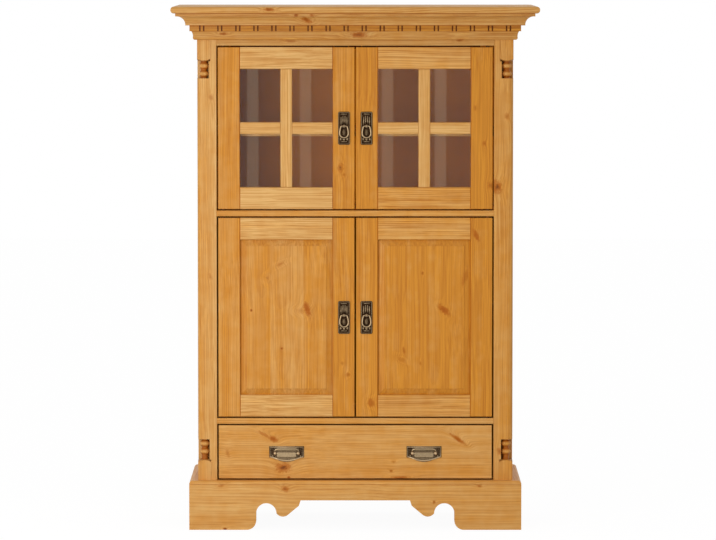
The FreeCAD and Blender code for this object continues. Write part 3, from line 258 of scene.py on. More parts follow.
def knot_group():
    """One knot that goes through a board: its colour, its dark core and how it pushes the rings aside.

    Its outline and its parts are measured in shares of the knot's own half widths."""
    tree, sockets = open_group(
        "Knot",
        [("Point", "Vector"), ("Centre", "Vector"), ("Across", "Float"), ("Along", "Float"),
         ("Turn", "Float"), ("Strength", "Float"), ("Bark", "Float"), ("Knot", "Float"), ("Core", "Float"),
         ("Swirl", "Float")],
        [("Knot", "Float"), ("Core", "Float"), ("Swirl", "Float")],
    )
    off = add(tree, "ShaderNodeVectorMath", {0: sockets["Point"], 1: sockets["Centre"]},
              operation="SUBTRACT")
    off = add(tree, "ShaderNodeVectorRotate", {"Vector": off[0], "Angle": sockets["Turn"]},
              rotation_type="Y_AXIS")[0]
    parts = add(tree, "ShaderNodeSeparateXYZ", {0: off})
    wide = add(tree, "ShaderNodeMath", {0: parts["X"], 1: sockets["Across"]}, operation="DIVIDE")[0]
    tall = add(tree, "ShaderNodeMath", {0: parts["Z"], 1: sockets["Along"]}, operation="DIVIDE")[0]
    flat = add(tree, "ShaderNodeCombineXYZ", {0: wide, 1: tall})[0]
    away = add(tree, "ShaderNodeVectorMath", {0: flat}, operation="LENGTH")["Value"]
    ragged = add(tree, "ShaderNodeTexNoise",
                 {"Vector": sockets["Point"], "Scale": 1 / RAGGED_WIDTH, "Detail": 2.0})[0]
    ragged = add(tree, "ShaderNodeMapRange", {0: ragged, 1: 0.25, 2: 0.75, 3: -0.3, 4: 0.3})[0]
    edge = add(tree, "ShaderNodeMath", {0: away, 1: ragged}, operation="ADD")[0]
    body = add(tree, "ShaderNodeMapRange", {0: edge, 1: 1.35, 2: 0.35}, interpolation_type="SMOOTHSTEP")[0]
    rim = add(tree, "ShaderNodeMapRange", {0: apart(tree, edge, 0.85), 1: 0.22, 2: 0.0})[0]
    rim = add(tree, "ShaderNodeMath", {0: rim, 1: sockets["Bark"]}, operation="MULTIPLY")[0]
    stain = add(tree, "ShaderNodeMath", {0: body, 1: sockets["Strength"]}, operation="MULTIPLY")[0]
    stain = add(tree, "ShaderNodeMath", {0: stain, 1: rim}, operation="MAXIMUM")[0]
    stain = add(tree, "ShaderNodeMath", {0: stain, 1: sockets["Knot"]}, operation="MAXIMUM")[0]
    core = add(tree, "ShaderNodeMapRange", {0: edge, 1: 0.5, 2: 0.1})[0]
    core = add(tree, "ShaderNodeMath", {0: core, 1: sockets["Bark"]}, operation="MULTIPLY")[0]
    core = add(tree, "ShaderNodeMath", {0: core, 1: sockets["Core"]}, operation="MAXIMUM")[0]
    square = add(tree, "ShaderNodeMath", {0: away, 1: away}, operation="MULTIPLY")[0]
    square = add(tree, "ShaderNodeMath", {0: square, 1: -0.35}, operation="MULTIPLY")[0]
    push = add(tree, "ShaderNodeMath", {0: square}, operation="EXPONENT")[0]
    push = add(tree, "ShaderNodeMath", {0: push, 1: sockets["Across"]}, operation="MULTIPLY")[0]
    push = add(tree, "ShaderNodeMath", {0: push, 1: sockets["Swirl"]}, operation="ADD")[0]
    add(tree, "NodeGroupOutput", {"Knot": stain, "Core": core, "Swirl": push})
    return tree


def apart(tree, value, place):
    """How far a value is from a place."""
    off = add(tree, "ShaderNodeMath", {0: value, 1: place}, operation="SUBTRACT")[0]
    return add(tree, "ShaderNodeMath", {0: off}, operation="ABSOLUTE")[0]


def turned(tree, point, order):
    """The point with its coordinates in another order, such as "zyx"."""
    parts = add(tree, "ShaderNodeSeparateXYZ", {0: point})
    named = {letter: parts[letter.upper()] for letter in "xyz"}
    return add(tree, "ShaderNodeCombineXYZ", {n: named[letter] for n, letter in enumerate(order)})[0]


def pine_material(name, groups, order="xyz", other="", where="", limit=0.0, seed=1.0, split="", at=0.0,
                  stave=2000.0, edge=-1000.0, depth=0.5, deeper=0.0, figure=0.6, joints=(), turning=False,
                  grooves=(), painted_shade=0.0, knots=()):
    """Oiled and waxed knotty pine, planed and sanded: a satin sheen over warm, streaky grain.

    order turns the part's own axes into board axes, and other does so where the boards run another way: past
    a mitre, or outside a band of half width limit. split starts another board past a coordinate, and deeper
    is how much deeper in tone that one is. Oil gathers at the joints, each an axis and a distance. The
    hollows of a turning, and grooves, cut a depth into the faces at given distances in X and Y, get painted
    shade in the knot's colours. The share given before the knots is how much painted shade, in one dark
    colour, darkens a moulding."""
    mat = bpy.data.materials.new("Waxed pine, " + name)
    tree = open_tree(mat)
    grain, knot = groups
    coords = add(tree, "ShaderNodeTexCoord")
    point = add(tree, "ShaderNodeVectorMath", {0: coords["Object"], "Scale": 1 / MM}, operation="SCALE")[0]
    axes = add(tree, "ShaderNodeSeparateXYZ", {0: point})
    board = turned(tree, point, order)
    normal = turned(tree, coords["Normal"], order)
    if other:
        if where == "mitre":
            wide = add(tree, "ShaderNodeMath", {0: axes["X"]}, operation="ABSOLUTE")[0]
            reach = add(tree, "ShaderNodeMath", {0: wide, 1: axes["Y"]}, operation="ADD")[0]
        else:
            reach = apart(tree, axes[where.upper()], at)
        past = add(tree, "ShaderNodeMath", {0: reach, 1: limit}, operation="GREATER_THAN")[0]
        board = add(tree, "ShaderNodeMix", {0: past, 4: board, 5: turned(tree, point, other)},
                    data_type="VECTOR")[1]
        normal = add(tree, "ShaderNodeMix", {0: past, 4: normal, 5: turned(tree, coords["Normal"], other)},
                     data_type="VECTOR")[1]
    number, tone = seed, depth
    if split:
        side = add(tree, "ShaderNodeMath", {0: axes[split.upper()], 1: at}, operation="GREATER_THAN")[0]
        number = add(tree, "ShaderNodeMath", {0: side, 1: NEXT_BOARD, 2: seed}, operation="MULTIPLY_ADD")[0]
        tone = add(tree, "ShaderNodeMath", {0: side, 1: deeper, 2: depth}, operation="MULTIPLY_ADD")[0]
    facing = add(tree, "ShaderNodeSeparateXYZ", {0: normal})["Z"]
    end = add(tree, "ShaderNodeMath", {0: facing}, operation="ABSOLUTE")[0]
    chain = {"Knot": 0.0, "Core": 0.0, "Swirl": 0.0}
    aside = add(tree, "ShaderNodeMath", {0: axes["X"]}, operation="ABSOLUTE")[0]
    for axis, joint in joints:
        off = add(tree, "ShaderNodeMath", {0: axes[axis]}, operation="ABSOLUTE")[0]
        line = add(tree, "ShaderNodeMapRange",
                   {0: apart(tree, off, joint), 1: JOINT_REACH, 2: JOINT_LINE, 3: 0.0, 4: 0.8})[0]
        chain["Knot"] = add(tree, "ShaderNodeMath", {0: chain["Knot"], 1: line}, operation="MAXIMUM")[0]
    # Painted shade in the grooves, in the knot's colours: darker the deeper a face lies behind the outer
    # faces
    if grooves:
        wide, front, cut = grooves
        side = add(tree, "ShaderNodeMath", {0: wide, 1: aside}, operation="SUBTRACT")[0]
        ahead = add(tree, "ShaderNodeMath", {0: axes["Y"], 1: front}, operation="SUBTRACT")[0]
        sunk = add(tree, "ShaderNodeMath", {0: side, 1: ahead}, operation="MINIMUM")[0]
        groove_shade = add(tree, "ShaderNodeMapRange", {0: sunk, 1: cut * 0.1, 2: cut * 0.7, 3: 0.0, 4: 1.0})[0]
        chain["Knot"] = add(tree, "ShaderNodeMath", {0: chain["Knot"], 1: groove_shade}, operation="MAXIMUM")[0]
        chain["Core"] = add(tree, "ShaderNodeMath", {0: groove_shade, 1: 0.55}, operation="MULTIPLY")[0]
    # Painted shade in the hollows of a turning, in the knot's colours: darker nearer the column's axis
    if turning:
        spoke = add(tree, "ShaderNodeCombineXYZ", {0: aside, 1: axes["Y"]})[0]
        spoke = add(tree, "ShaderNodeVectorMath", {0: spoke, 1: (*COLUMN_AXIS, 0)}, operation="SUBTRACT")[0]
        radius = add(tree, "ShaderNodeVectorMath", {0: spoke}, operation="LENGTH")["Value"]
        for word, (start, full), most in (("Knot", HOLLOW_RADII, 0.9), ("Core", DEEP_HOLLOW_RADII, 0.2)):
            chain[word] = add(tree, "ShaderNodeMapRange", {0: radius, 1: start, 2: full, 3: 0.0, 4: most})[0]
    for x, z, across, along, turn, strength, bark in knots:
        # A knot runs through the board, so its depth doesn't count
        found = add(tree, "ShaderNodeGroup",
                    {"Point": point, "Centre": (x, 0, z), "Across": across, "Along": along,
                     "Turn": math.radians(turn), "Strength": strength, "Bark": bark, **chain},
                    node_tree=knot)
        chain = {word: found[word] for word in chain}
    made = add(tree, "ShaderNodeGroup",
               {"Board": board, "Seed": number, "Stave": stave, "Edge": edge, "Depth": tone,
                "Figure": figure, "End": end, **chain},
               node_tree=grain)
    # Painted shade: one dark colour laid over the wood, for the shade in and under the cornice
    shaded_wood = add(tree, "ShaderNodeMix", {0: painted_shade, 6: made["Color"], 7: opaque(colour(PAINTED_SHADE_COLOUR))},
               data_type="RGBA")[2]
    bump = add(tree, "ShaderNodeBump", {"Height": made["Height"], "Strength": 0.25, "Distance": 0.15 * MM})
    shader = add(tree, "ShaderNodeBsdfPrincipled",
                 {"Base Color": shaded_wood, "Roughness": made["Roughness"], "Normal": bump[0],
                  "IOR": 1.48, "Specular IOR Level": 0.22})
    add(tree, "ShaderNodeOutputMaterial", {"Surface": shader[0]})
    return mat


# Knots seen in the boards: x, z, half width across, half width along, turn in degrees, strength, bark.
# Places and sizes are in millimetres in the closed piece.
DRAWER_KNOTS = (
    (-226, 250, 15, 8, -25, 0.98, 0.2), (-252, 262, 22, 5, -32, 0.65, 0), (-353, 210, 5, 12, 15, 0.45, 0.1),
    (-199, 170, 22, 14, 0, 0.85, 0.75), (-184, 143, 4, 3.5, 0, 1, 1.0), (283, 250, 26, 6, -35, 1, 0.15),
    (106, 186, 7, 4, 0, 0.52, 0.2), (99, 161, 5, 4, 0, 0.78, 0.5), (122, 143, 26, 4, 0, 0.72, 0.2),
)
PLINTH_KNOTS = (
    (-194, 114, 12, 9, -25, 0.78, 0.3), (-370, 123, 10, 4, 15, 0.52, 0.2), (-360, 2, 6, 4, 0, 1, 1.0),
    (342, 122, 8, 4, -10, 0.65, 0.2), (218, 77, 5, 5, 0, 0.78, 0.3),
)
LEFT_PANEL_KNOTS = (
    (-206, 735, 13, 5, 30, 0.45, 0.1), (-243, 697, 9, 9, 0, 0.26, 0.2), (-287, 607, 3.5, 4, 0, 0.91, 1.0),
    (-133, 611, 9, 22, 20, 1, 0.1), (-148, 606, 18, 8, 0, 0.29, 0.05), (-203, 501, 4, 4, 0, 0.91, 1.0),
)
RIGHT_PANEL_KNOTS = (
    (186, 710, 4, 5, 0, 0.65, 0.3), (245, 608, 9, 22, 48, 1, 0.1), (134, 496, 4, 12, 10, 0.65, 0.1),
    (128, 470, 12, 6, -30, 0.45, 0.1), (303, 700, 7, 26, -15, 0.52, 0), (180, 460, 3, 8, 0, 0.52, 0.1),
)
CORNICE_KNOTS = (
    (-236, 1437, 14, 5, 0, 0.95, 0.3), (-162, 1421, 6, 5, 0, 0.9, 0.5), (-118, 1421, 6, 5, 0, 0.8, 0.6),
    (-133, 1408, 17, 8, -20, 0.95, 0.4), (-362, 1370, 13, 4, 0, 0.9, 0.3), (10, 1367, 23, 9, 0, 0.95, 0.4),
    (-178, 1349, 14, 4, 0, 0.59, 0.1), (288, 1352, 10, 5, 0, 0.65, 0.2),
)
POST_KNOTS_LEFT = ((-397, 1196, 6, 9, 0, 0.52, 0.2), (-400, 700, 6, 10, 10, 0.39, 0.1))
POST_KNOTS_RIGHT = ((391, 948, 14, 19, 10, 0.85, 0.7), (418, 1143, 8, 10, 0, 0.59, 0.2),
                    (399, 215, 8, 12, 20, 0.65, 0.2))
STILE_KNOTS = {
    "upper_left": ((-41, 1002, 9, 15, 0, 0.6, 0.6), (-31, 982, 5, 5, 0, 0.65, 0.4)),
    "upper_right": ((330, 1165, 5, 9, 0, 0.52, 0.2), (355, 1068, 6, 8, 0, 0.65, 0.2),
                    (375, 952, 12, 11, 0, 0.6, 0.2)),
    "lower_left": ((-20, 428, 7, 6, 0, 0.59, 0.2), (-36, 460, 5, 6, 0, 0.33, 0.1)),
    "lower_right": ((333, 815, 7, 18, 25, 0.91, 0.05), (43, 351, 11, 12, -30, 0.78, 0.1)),
}

# Places in millimetres
DOOR_MIDDLE = 190  # a door's centre line, from the middle of the front
DOOR_LEVELS = {"upper": (887, 1333), "lower": (312, 863)}  # lower and upper ends of the doors
UPRIGHT_REACH = 16  # half the width of the band that a glazed door's upright bar stands in
SHELF_SPLIT = 600  # height from which on the case's boards are another lot
COLUMN_AXIS = (417, -132)  # middle of a turned column: distance from the middle of the front, and Y
FRAME_JOINTS_AND_GAP_SHADE = (("X", 62), ("X", 318), ("X", 1))  # between the doors' rails and stiles, and painted shade on the stiles beside the gap between the doors
CORNICE_JOINTS = (("Z", 1377), ("Z", 1393), ("Z", 1426))  # where the mouldings meet
DENTIL_FACES = (455, -170, 4)  # outer faces of the dentil band in X and Y, and how deep its grooves are
MITRE = 285.0  # where the cornice's front meets its returns: half the body's width less its front's depth

# Each board: node, axes in board order, and what makes it differ
BOARDS = {
    "post_left": (("corner_post_left",), dict(seed=3.1, depth=0.2, knots=POST_KNOTS_LEFT)),
    "post_right": (("corner_post_right",), dict(seed=8.4, depth=0.6, knots=POST_KNOTS_RIGHT)),
    "column_left": (("turned_column_left",),
                    dict(seed=11.3, depth=0.3, turning=True, knots=POST_KNOTS_LEFT)),
    "column_right": (("turned_column_right",),
                     dict(seed=16.9, depth=0.5, turning=True, knots=POST_KNOTS_RIGHT)),
    "sides": (("side_panel_left", "side_panel_right"),
              dict(order="yxz", seed=2.2, split="x", stave=88, edge=-220, depth=0.5)),
    "case_boards": (("middle_divider", "drawer_divider", "bottom_board", "shelves"),
                    dict(order="yzx", seed=4.7, split="z", at=SHELF_SPLIT, stave=90, edge=-152, depth=0.5,
                         deeper=-0.05)),
    # The frieze and the cornice's boards get a share of painted shade, for the shade of the cornice's
    # overhang
    "top_board": (("top_board",),
                  dict(order="yzx", seed=5.2, stave=90, edge=-152, depth=0.45, painted_shade=0.14,
                       knots=CORNICE_KNOTS[-2:])),
    "cornice": (("bed_moulding", "crown_moulding"),
                dict(order="zyx", other="zxy", where="mitre", limit=MITRE, seed=6.3, stave=16, edge=1345,
                     depth=0.45, figure=0.8, painted_shade=0.12, joints=CORNICE_JOINTS, knots=CORNICE_KNOTS)),
    "dentils": (("dentil_strip",),
                dict(order="zyx", other="zxy", where="mitre", limit=MITRE, seed=7.2, depth=0.9, figure=0.8,
                     painted_shade=0.16, joints=CORNICE_JOINTS[1:2], grooves=DENTIL_FACES)),
    "cap": (("cornice_cap",),
            dict(order="yzx", seed=9.9, stave=110, edge=-220, depth=0.15, figure=0.9, painted_shade=0.06,
                 joints=CORNICE_JOINTS[2:], knots=CORNICE_KNOTS[:1])),
    "hidden_frame": (("header_frame", "plinth_corner_blocks", "plinth_rear", "drawer_runners"),
                     dict(order="zyx", seed=5.5, depth=0.4)),
    "plinth_front": (("plinth_front",), dict(order="zyx", seed=12.6, depth=0.42, knots=PLINTH_KNOTS)),
    "plinth_sides": (("plinth_left", "plinth_right"), dict(order="zxy", seed=13.3, split="x", depth=0.5)),
    "drawer_front": (("drawer_front",),
                     dict(order="zyx", seed=21.4, depth=0.42, figure=0.5, knots=DRAWER_KNOTS)),
    "drawer_box": (("drawer_sides_and_back", "drawer_bottom"), dict(order="zxy", seed=14.8, depth=0.15)),
    "left_panel": (("lower_door_left_panel",),
                   dict(seed=31.7, stave=92, edge=-327, depth=0.75, figure=0.5, knots=LEFT_PANEL_KNOTS)),
    "right_panel": (("lower_door_right_panel",),
                    dict(seed=47.2, stave=96, edge=54, depth=0.92, figure=0.42, knots=RIGHT_PANEL_KNOTS)),
}
# The left doors are paler than the right ones
SIDES = {
    "left": dict(sign=-1, seed=15.1, stiles=0.83, rails=0.1),
    "right": dict(sign=1, seed=17.9, stiles=0.95, rails=0.5),
}
for side, lot in SIDES.items():
    middle = DOOR_MIDDLE * lot["sign"]
    for level, (floor, top) in DOOR_LEVELS.items():
        door = "%s_door_%s" % (level, side)
        BOARDS[door + "_stiles"] = (
            (door + "_stiles",),
            dict(seed=lot["seed"] + floor, split="x", at=middle, depth=lot["stiles"], deeper=0.12,
                 figure=0.5, joints=FRAME_JOINTS_AND_GAP_SHADE, knots=STILE_KNOTS["%s_%s" % (level, side)]))
        BOARDS[door + "_rails"] = (
            (door + "_rails",),
            dict(order="zyx", seed=lot["seed"] + top, split="z", at=(floor + top) / 2, depth=lot["rails"],
                 figure=1.0, joints=FRAME_JOINTS_AND_GAP_SHADE))
    door = "upper_door_" + side
    # The upright bar stands in a band round the door's centre line, and the cross bars run beside it
    BOARDS[door + "_bars"] = (
        (door + "_muntins", door + "_glazing_beads"),
        dict(order="xyz", other="zyx", where="x", at=middle, limit=UPRIGHT_REACH, seed=61.0 + lot["sign"],
             depth=0.25, figure=0.75))


def new_piece(name, mesh, mat):
    """An object of the scene, made of one material."""
    mesh.materials.append(mat)
    piece = bpy.data.objects.new(name, mesh)
    bpy.context.scene.collection.objects.link(piece)
    return piece


def mesh_from(name, work):
    """The mesh that was being worked on."""
    mesh = bpy.data.meshes.new(name)
    work.to_mesh(mesh)
    work.free()
    return mesh


STOP_SIDE = 9 * MM  # thickness and height of a stop lath
STOP_EDGE = 0.8 * MM  # planed corner
STOP_GAP = 0.5 * MM  # air between a closed door and its stop
MIDDLE_STOP_REACH = 17 * MM  # half the length of the stop between the catches
CATCH_GAP = 1 * MM  # air between a catch and the stop beside it
OUTER_SHORT = 34 * MM  # how far the outer stops end before the doors' outer edges


def lath(name, low, high, mat):
    """A planed lath of the case, between two corners."""
    work = bmesh.new()
    bmesh.ops.create_cube(work, size=1)
    for vert in work.verts:
        vert.co = [a + (b - a) * (share + 0.5) for a, b, share in zip(low, high, vert.co)]
    bmesh.ops.bevel(work, geom=work.edges, offset=STOP_EDGE, segments=1, affect="EDGES")
    piece = new_piece(name, mesh_from(name, work), mat)
    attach(piece, "carcass")


def stop_laths(mat):
    """Laths that the doors close against at the top. Their dark red-brown is painted shade for the gaps over
    the doors.
    """
    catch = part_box("door_catches")[1].x
    for level, board in (("upper", "top_board"), ("lower", "middle_divider")):
        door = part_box(level + "_door_left_stiles")
        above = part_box(board)[0].z
        near = door[1].y + STOP_GAP
        inner, outer = catch + CATCH_GAP, -door[0].x - OUTER_SHORT
        ends = {"middle": (-MIDDLE_STOP_REACH, MIDDLE_STOP_REACH), "left": (-outer, -inner),
                "right": (inner, outer)}
        for place, (start, end) in ends.items():
            lath("%s_%s_stop" % (level, place), (start, near, above - STOP_SIDE),
                 (end, near + STOP_SIDE, above), mat)


def finish_boards(context, words):
    """Gives the named sets of boards their pine."""
    pine = context.scene.highboard_pine
    groups = [bpy.data.node_groups.get("Pine grain") or ring_group(pine),
              bpy.data.node_groups.get("Knot") or knot_group()]
    for word in words:
        nodes, choices = BOARDS[word]
        mat = pine_material(word.replace("_", " "), groups, **choices)
        for name in nodes:
            dress(name, mat)


def dress(name, mat):
    """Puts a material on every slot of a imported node."""
    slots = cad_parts[name].material_slots
    for slot in slots:
        slot.link = "OBJECT"
        slot.material = mat


# Other materials


GRIP_RUB = (36 * MM, 22 * MM)  # from a pull's middle: where the rubbing of the fingers starts, and is full
PATCH_WIDTH = 3 * MM  # patches of patina left by the rubbing


def bronze_material(bronze, name, front, relief, worn_least, worn_most, grip=0.0):
    """Antique bronze, cast and browned, then rubbed: dark hollows and bright high places.

    grip is how much more the fingers have rubbed the middle of a wide pull than its ends."""
    mat = bpy.data.materials.new(name)
    tree = open_tree(mat)
    coords = add(tree, "ShaderNodeTexCoord")
    axes = add(tree, "ShaderNodeSeparateXYZ", {0: coords["Object"]})
    high = add(tree, "ShaderNodeMapRange",
               {0: axes["Y"], 1: front, 2: front - relief, 3: worn_least, 4: worn_most})[0]
    if grip:
        aside = add(tree, "ShaderNodeMath", {0: axes["X"]}, operation="ABSOLUTE")[0]
        aside = apart(tree, aside, DOOR_MIDDLE * MM)
        rub = add(tree, "ShaderNodeMapRange", {0: aside, 1: GRIP_RUB[0], 2: GRIP_RUB[1], 3: 0.0, 4: grip})[0]
        high = add(tree, "ShaderNodeMath", {0: high, 1: rub}, operation="ADD")[0]
    patch = add(tree, "ShaderNodeTexNoise",
                {"Vector": coords["Object"], "Scale": 1 / PATCH_WIDTH, "Detail": 3.0})[0]
    patch = add(tree, "ShaderNodeMapRange", {0: patch, 1: 0.3, 2: 0.7, 3: -0.12, 4: 0.12})[0]
    rubbed = add(tree, "ShaderNodeMath", {0: high, 1: patch}, operation="ADD", use_clamp=True)[0]
    tint = add(tree, "ShaderNodeMix", {0: rubbed, 6: opaque(bronze.patina), 7: opaque(bronze.worn)},
               data_type="RGBA")[2]
    rough = add(tree, "ShaderNodeMapRange", {0: rubbed, 3: 0.5, 4: 0.28})[0]
    bump = add(tree, "ShaderNodeBump", {"Height": patch, "Strength": 0.3, "Distance": 0.2 * MM})[0]
    shader = add(tree, "ShaderNodeBsdfPrincipled",
                 {"Base Color": tint, "Roughness": rough, "Metallic": 1.0, "Normal": bump})
    add(tree, "ShaderNodeOutputMaterial", {"Surface": shader[0]})
    return mat


def plain_material(name, code, least, most, metallic=0.0, grain=2.0, swing=0.12, sheen=0.5, rear=""):
    """An even finish, with slight mottling at a grain given in mm. rear is the colour of the other side."""
    mat = bpy.data.materials.new(name)
    tree = open_tree(mat)
    coords = add(tree, "ShaderNodeTexCoord")
    mottle = add(tree, "ShaderNodeTexNoise",
                 {"Vector": coords["Object"], "Scale": 1 / (grain * MM), "Detail": 3.0})[0]
    base = colour(code)
    tint = add(tree, "ShaderNodeMix",
               {0: mottle, 6: opaque([part * (1 - swing) for part in base]),
                7: opaque([min(part * (1 + swing), 1) for part in base])}, data_type="RGBA")[2]
    if rear:
        facing = add(tree, "ShaderNodeSeparateXYZ", {0: coords["Normal"]})["Y"]
        behind = add(tree, "ShaderNodeMath", {0: facing, 1: 0.5}, operation="GREATER_THAN")[0]
        tint = add(tree, "ShaderNodeMix", {0: behind, 6: tint, 7: opaque(colour(rear))}, data_type="RGBA")[2]
    rough = add(tree, "ShaderNodeMapRange", {0: mottle, 3: least, 4: most})[0]
    shader = add(tree, "ShaderNodeBsdfPrincipled",
                 {"Base Color": tint, "Roughness": rough, "Metallic": metallic, "Specular IOR Level": sheen})
    add(tree, "ShaderNodeOutputMaterial", {"Surface": shader[0]})
    return mat


def glass_material(glass):
    """Float glass, 4 mm: clear and flat, and light falls through it into the case."""
    mat = bpy.data.materials.new("Float glass")
    tree = open_tree(mat)
    pane = add(tree, "ShaderNodeBsdfPrincipled",
               {"Base Color": opaque(glass.tint), "Roughness": glass.polish, "IOR": 1.5,
                "Transmission Weight": 1.0})
    clear = add(tree, "ShaderNodeBsdfTransparent", {"Color": opaque(glass.tint)})
    path = add(tree, "ShaderNodeLightPath")
    passed = add(tree, "ShaderNodeMath", {0: path["Is Shadow Ray"], 1: path["Is Diffuse Ray"]},
                 operation="MAXIMUM")
    both = add(tree, "ShaderNodeMixShader", {0: passed[0], 1: pane[0], 2: clear[0]})
    add(tree, "ShaderNodeOutputMaterial", {"Surface": both[0]})
    return mat


# Relief of the pulls

PLATE_THICKNESS = 2.5 * MM
PLATE_INSET = 2.2 * MM  # from a plate's edge to its raised line
PLATE_SKIN = 0.05 * MM  # how far the dark ground reaches over the plate's face
WIDE_PLATE_HALF = 48 * MM  # half the width of a drawer plate
WIDE_PLATE_SHOULDER = 12 * MM  # height of its shoulders over its foot
RING_REACH = 9 * MM  # how far a ring stands before the door
GRIP_BACK = 5 * MM  # from the drawer's face to the back of a bail's grip
GRIP_THICKNESS = 4.7 * MM


def bead(work, points, front, half_width, height, closed):
    """A half-round line laid on a plate whose face is at y = front. Points are (x, z)."""
    count, section = len(points), []
    steps = 6
    for n in range(count):
        before = points[(n - 1) % count] if closed or n else points[0]
        after = points[(n + 1) % count] if closed or n < count - 1 else points[-1]
        way = Vector((after[0] - before[0], after[1] - before[1])).normalized()
        out = Vector((-way.y, way.x))
        ring = []
        for k in range(steps + 1):
            side = half_width * math.cos(math.pi * k / steps)
            # Its two edges lie in the plate
            sunk = 0 if 0 < k < steps else height / 3
            place = (points[n][0] + out.x * side, front - height * math.sin(math.pi * k / steps) + sunk,
                     points[n][1] + out.y * side)
            ring.append(work.verts.new(place))
        section.append(ring)
    for n in range(count if closed else count - 1):
        one, two = section[n], section[(n + 1) % count]
        for k in range(steps + 1):
            after = (k + 1) % (steps + 1)
            work.faces.new((one[k], one[after], two[after], two[k]))
    if not closed:
        work.faces.new(section[0][::-1])
        work.faces.new(section[-1])


def boss(work, x, z, half_width, half_height, front, rise):
    """An oval dome on the plate."""
    around, levels = 20, 5
    rings = []
    for level in range(levels):
        tilt = math.pi / 2 * level / levels
        wide, tall = half_width * math.cos(tilt), half_height * math.cos(tilt)
        # Its foot lies in the plate
        y = front - rise * math.sin(tilt) + (0 if level else rise / 4)
        turns = [math.tau * n / around for n in range(around)]
        places = [(x + wide * math.cos(turn), y, z + tall * math.sin(turn)) for turn in turns]
        rings.append([work.verts.new(place) for place in places])
    tip = work.verts.new((x, front - rise, z))
    for low, high in zip(rings, rings[1:]):
        for n in range(around):
            after = (n + 1) % around
            work.faces.new((low[n], low[after], high[after], high[n]))
    for n in range(around):
        work.faces.new((rings[-1][n], rings[-1][(n + 1) % around], tip))
    work.faces.new(rings[0][::-1])


def arc(x, z, radius, start, end, count=6):
    """Points on an arc, angles in degrees."""
    turns = [math.radians(start + (end - start) * n / count) for n in range(count + 1)]
    return [(x + radius * math.cos(turn), z + radius * math.sin(turn)) for turn in turns]


def finish_relief(name, work, mat, body):
    """Turns the relief's mesh into a piece that rides with its plate."""
    bmesh.ops.recalc_face_normals(work, faces=work.faces)
    for face in work.faces:
        face.smooth = True
    piece = new_piece(name, mesh_from(name, work), mat)
    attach(piece, body)


def ring_relief(bronze, door, mat, body):
    """Cast relief of a tall plate: a scooped rim, ribs above the ring and a long drop below it."""
    low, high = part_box(door + "_pull_plate")
    x, half = (low.x + high.x) / 2, (high.x - low.x) / 2
    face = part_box(door + "_stiles")[0].y - PLATE_THICKNESS
    scoop = 2.5 * MM  # radius of the scooped corners
    rim = scoop + PLATE_INSET * 0.4
    wide, tall = bronze.bead_width / 2, bronze.bead_height
    # All in millimetres: ribs as place across and drop from the top, then bars by their drop, and domes as
    # place across, height over the plate's foot, half width, half height and rise
    ribs, rib_points, rib_half = ((-8, 14), (-2.8, 11), (2.8, 11), (8, 14)), (0, 12, 22), 1.5
    bars, bar_points, bar_half = (6.5, 82.5), (-8, 0, 8), 1.1
    domes = ((0, 34, 4.2, 9.5, 0.45), (0, 14.5, 3, 3, 1.3), (-9, 16, 2.2, 4, 1.1), (9, 16, 2.2, 4, 1.1))
    points = (arc(x - half, high.z, rim, -90, 0) + arc(x + half, high.z, rim, 180, 270)
              + arc(x + half, low.z, rim, 90, 180) + arc(x - half, low.z, rim, 0, 90))
    reach = half - PLATE_INSET
    foot, head = low.z + PLATE_INSET, high.z - PLATE_INSET
    points = [(min(max(px, x - reach), x + reach), min(max(pz, foot), head)) for px, pz in points]
    work = bmesh.new()
    bead(work, points, face, wide, tall, True)
    for across, drop in ribs:
        line = [(x + across * MM, high.z - (drop + length) * MM) for length in rib_points]
        bead(work, line, face, rib_half * MM, tall, False)
    for drop in bars:
        line = [(x + across * MM, high.z - drop * MM) for across in bar_points]
        bead(work, line, face, bar_half * MM, tall, False)
    for across, height, half_width, half_height, rise in domes:
        boss(work, x + across * MM, low.z + height * MM, half_width * MM, half_height * MM, face, rise * MM)
    finish_relief(door + "_plate_relief", work, mat, body)


def bail_relief(bronze, name, x, mat):
    """Cast relief of a wide plate: a rim, a broad lip, a long rib over the grip and studs by the posts."""
    low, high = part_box("drawer_pull_plates")
    face = front_plane() - PLATE_THICKNESS
    wide, tall = bronze.bead_width / 2, bronze.bead_height
    half = WIDE_PLATE_HALF - PLATE_INSET
    top = high.z - PLATE_INSET
    shoulder = low.z + WIDE_PLATE_SHOULDER + PLATE_INSET * 0.6
    # In millimetres from the plate's middle: its lower edge over the foot, and the rib under the raised line
    lower_edge = ((22, 5.5), (8, 2.8), (0, 2.5), (-8, 2.8), (-22, 5.5))
    rib = ((-34, 14), (-31, 8), (-24, 5.5), (24, 5.5), (31, 8), (34, 14))
    stud_across, stud_drop = 38 * MM, 25 * MM
    stud_radius, stud_rise = 2.4 * MM, 0.5 * MM
    lip_rise, broad_half, broad_tall = 1.4 * MM, 1.5 * MM, tall * 1.3
    outline = [(x - half, shoulder), (x - half, top), (x + half, top), (x + half, shoulder)]
    outline += [(x + across * MM, low.z + height * MM) for across, height in lower_edge]
    work = bmesh.new()
    bead(work, outline, face, wide, tall, True)
    lip = [(px, pz + lip_rise) for px, pz in outline[3:] + outline[:1]]
    bead(work, lip, face, broad_half, broad_tall, False)
    line = [(x + across * MM, top - drop * MM) for across, drop in rib]
    bead(work, line, face, broad_half, broad_tall, False)
    for sign in (-1, 1):
        boss(work, x + sign * stud_across, top - stud_drop, stud_radius, stud_radius, face, stud_rise)
    finish_relief(name, work, mat, "drawer")


# Operators


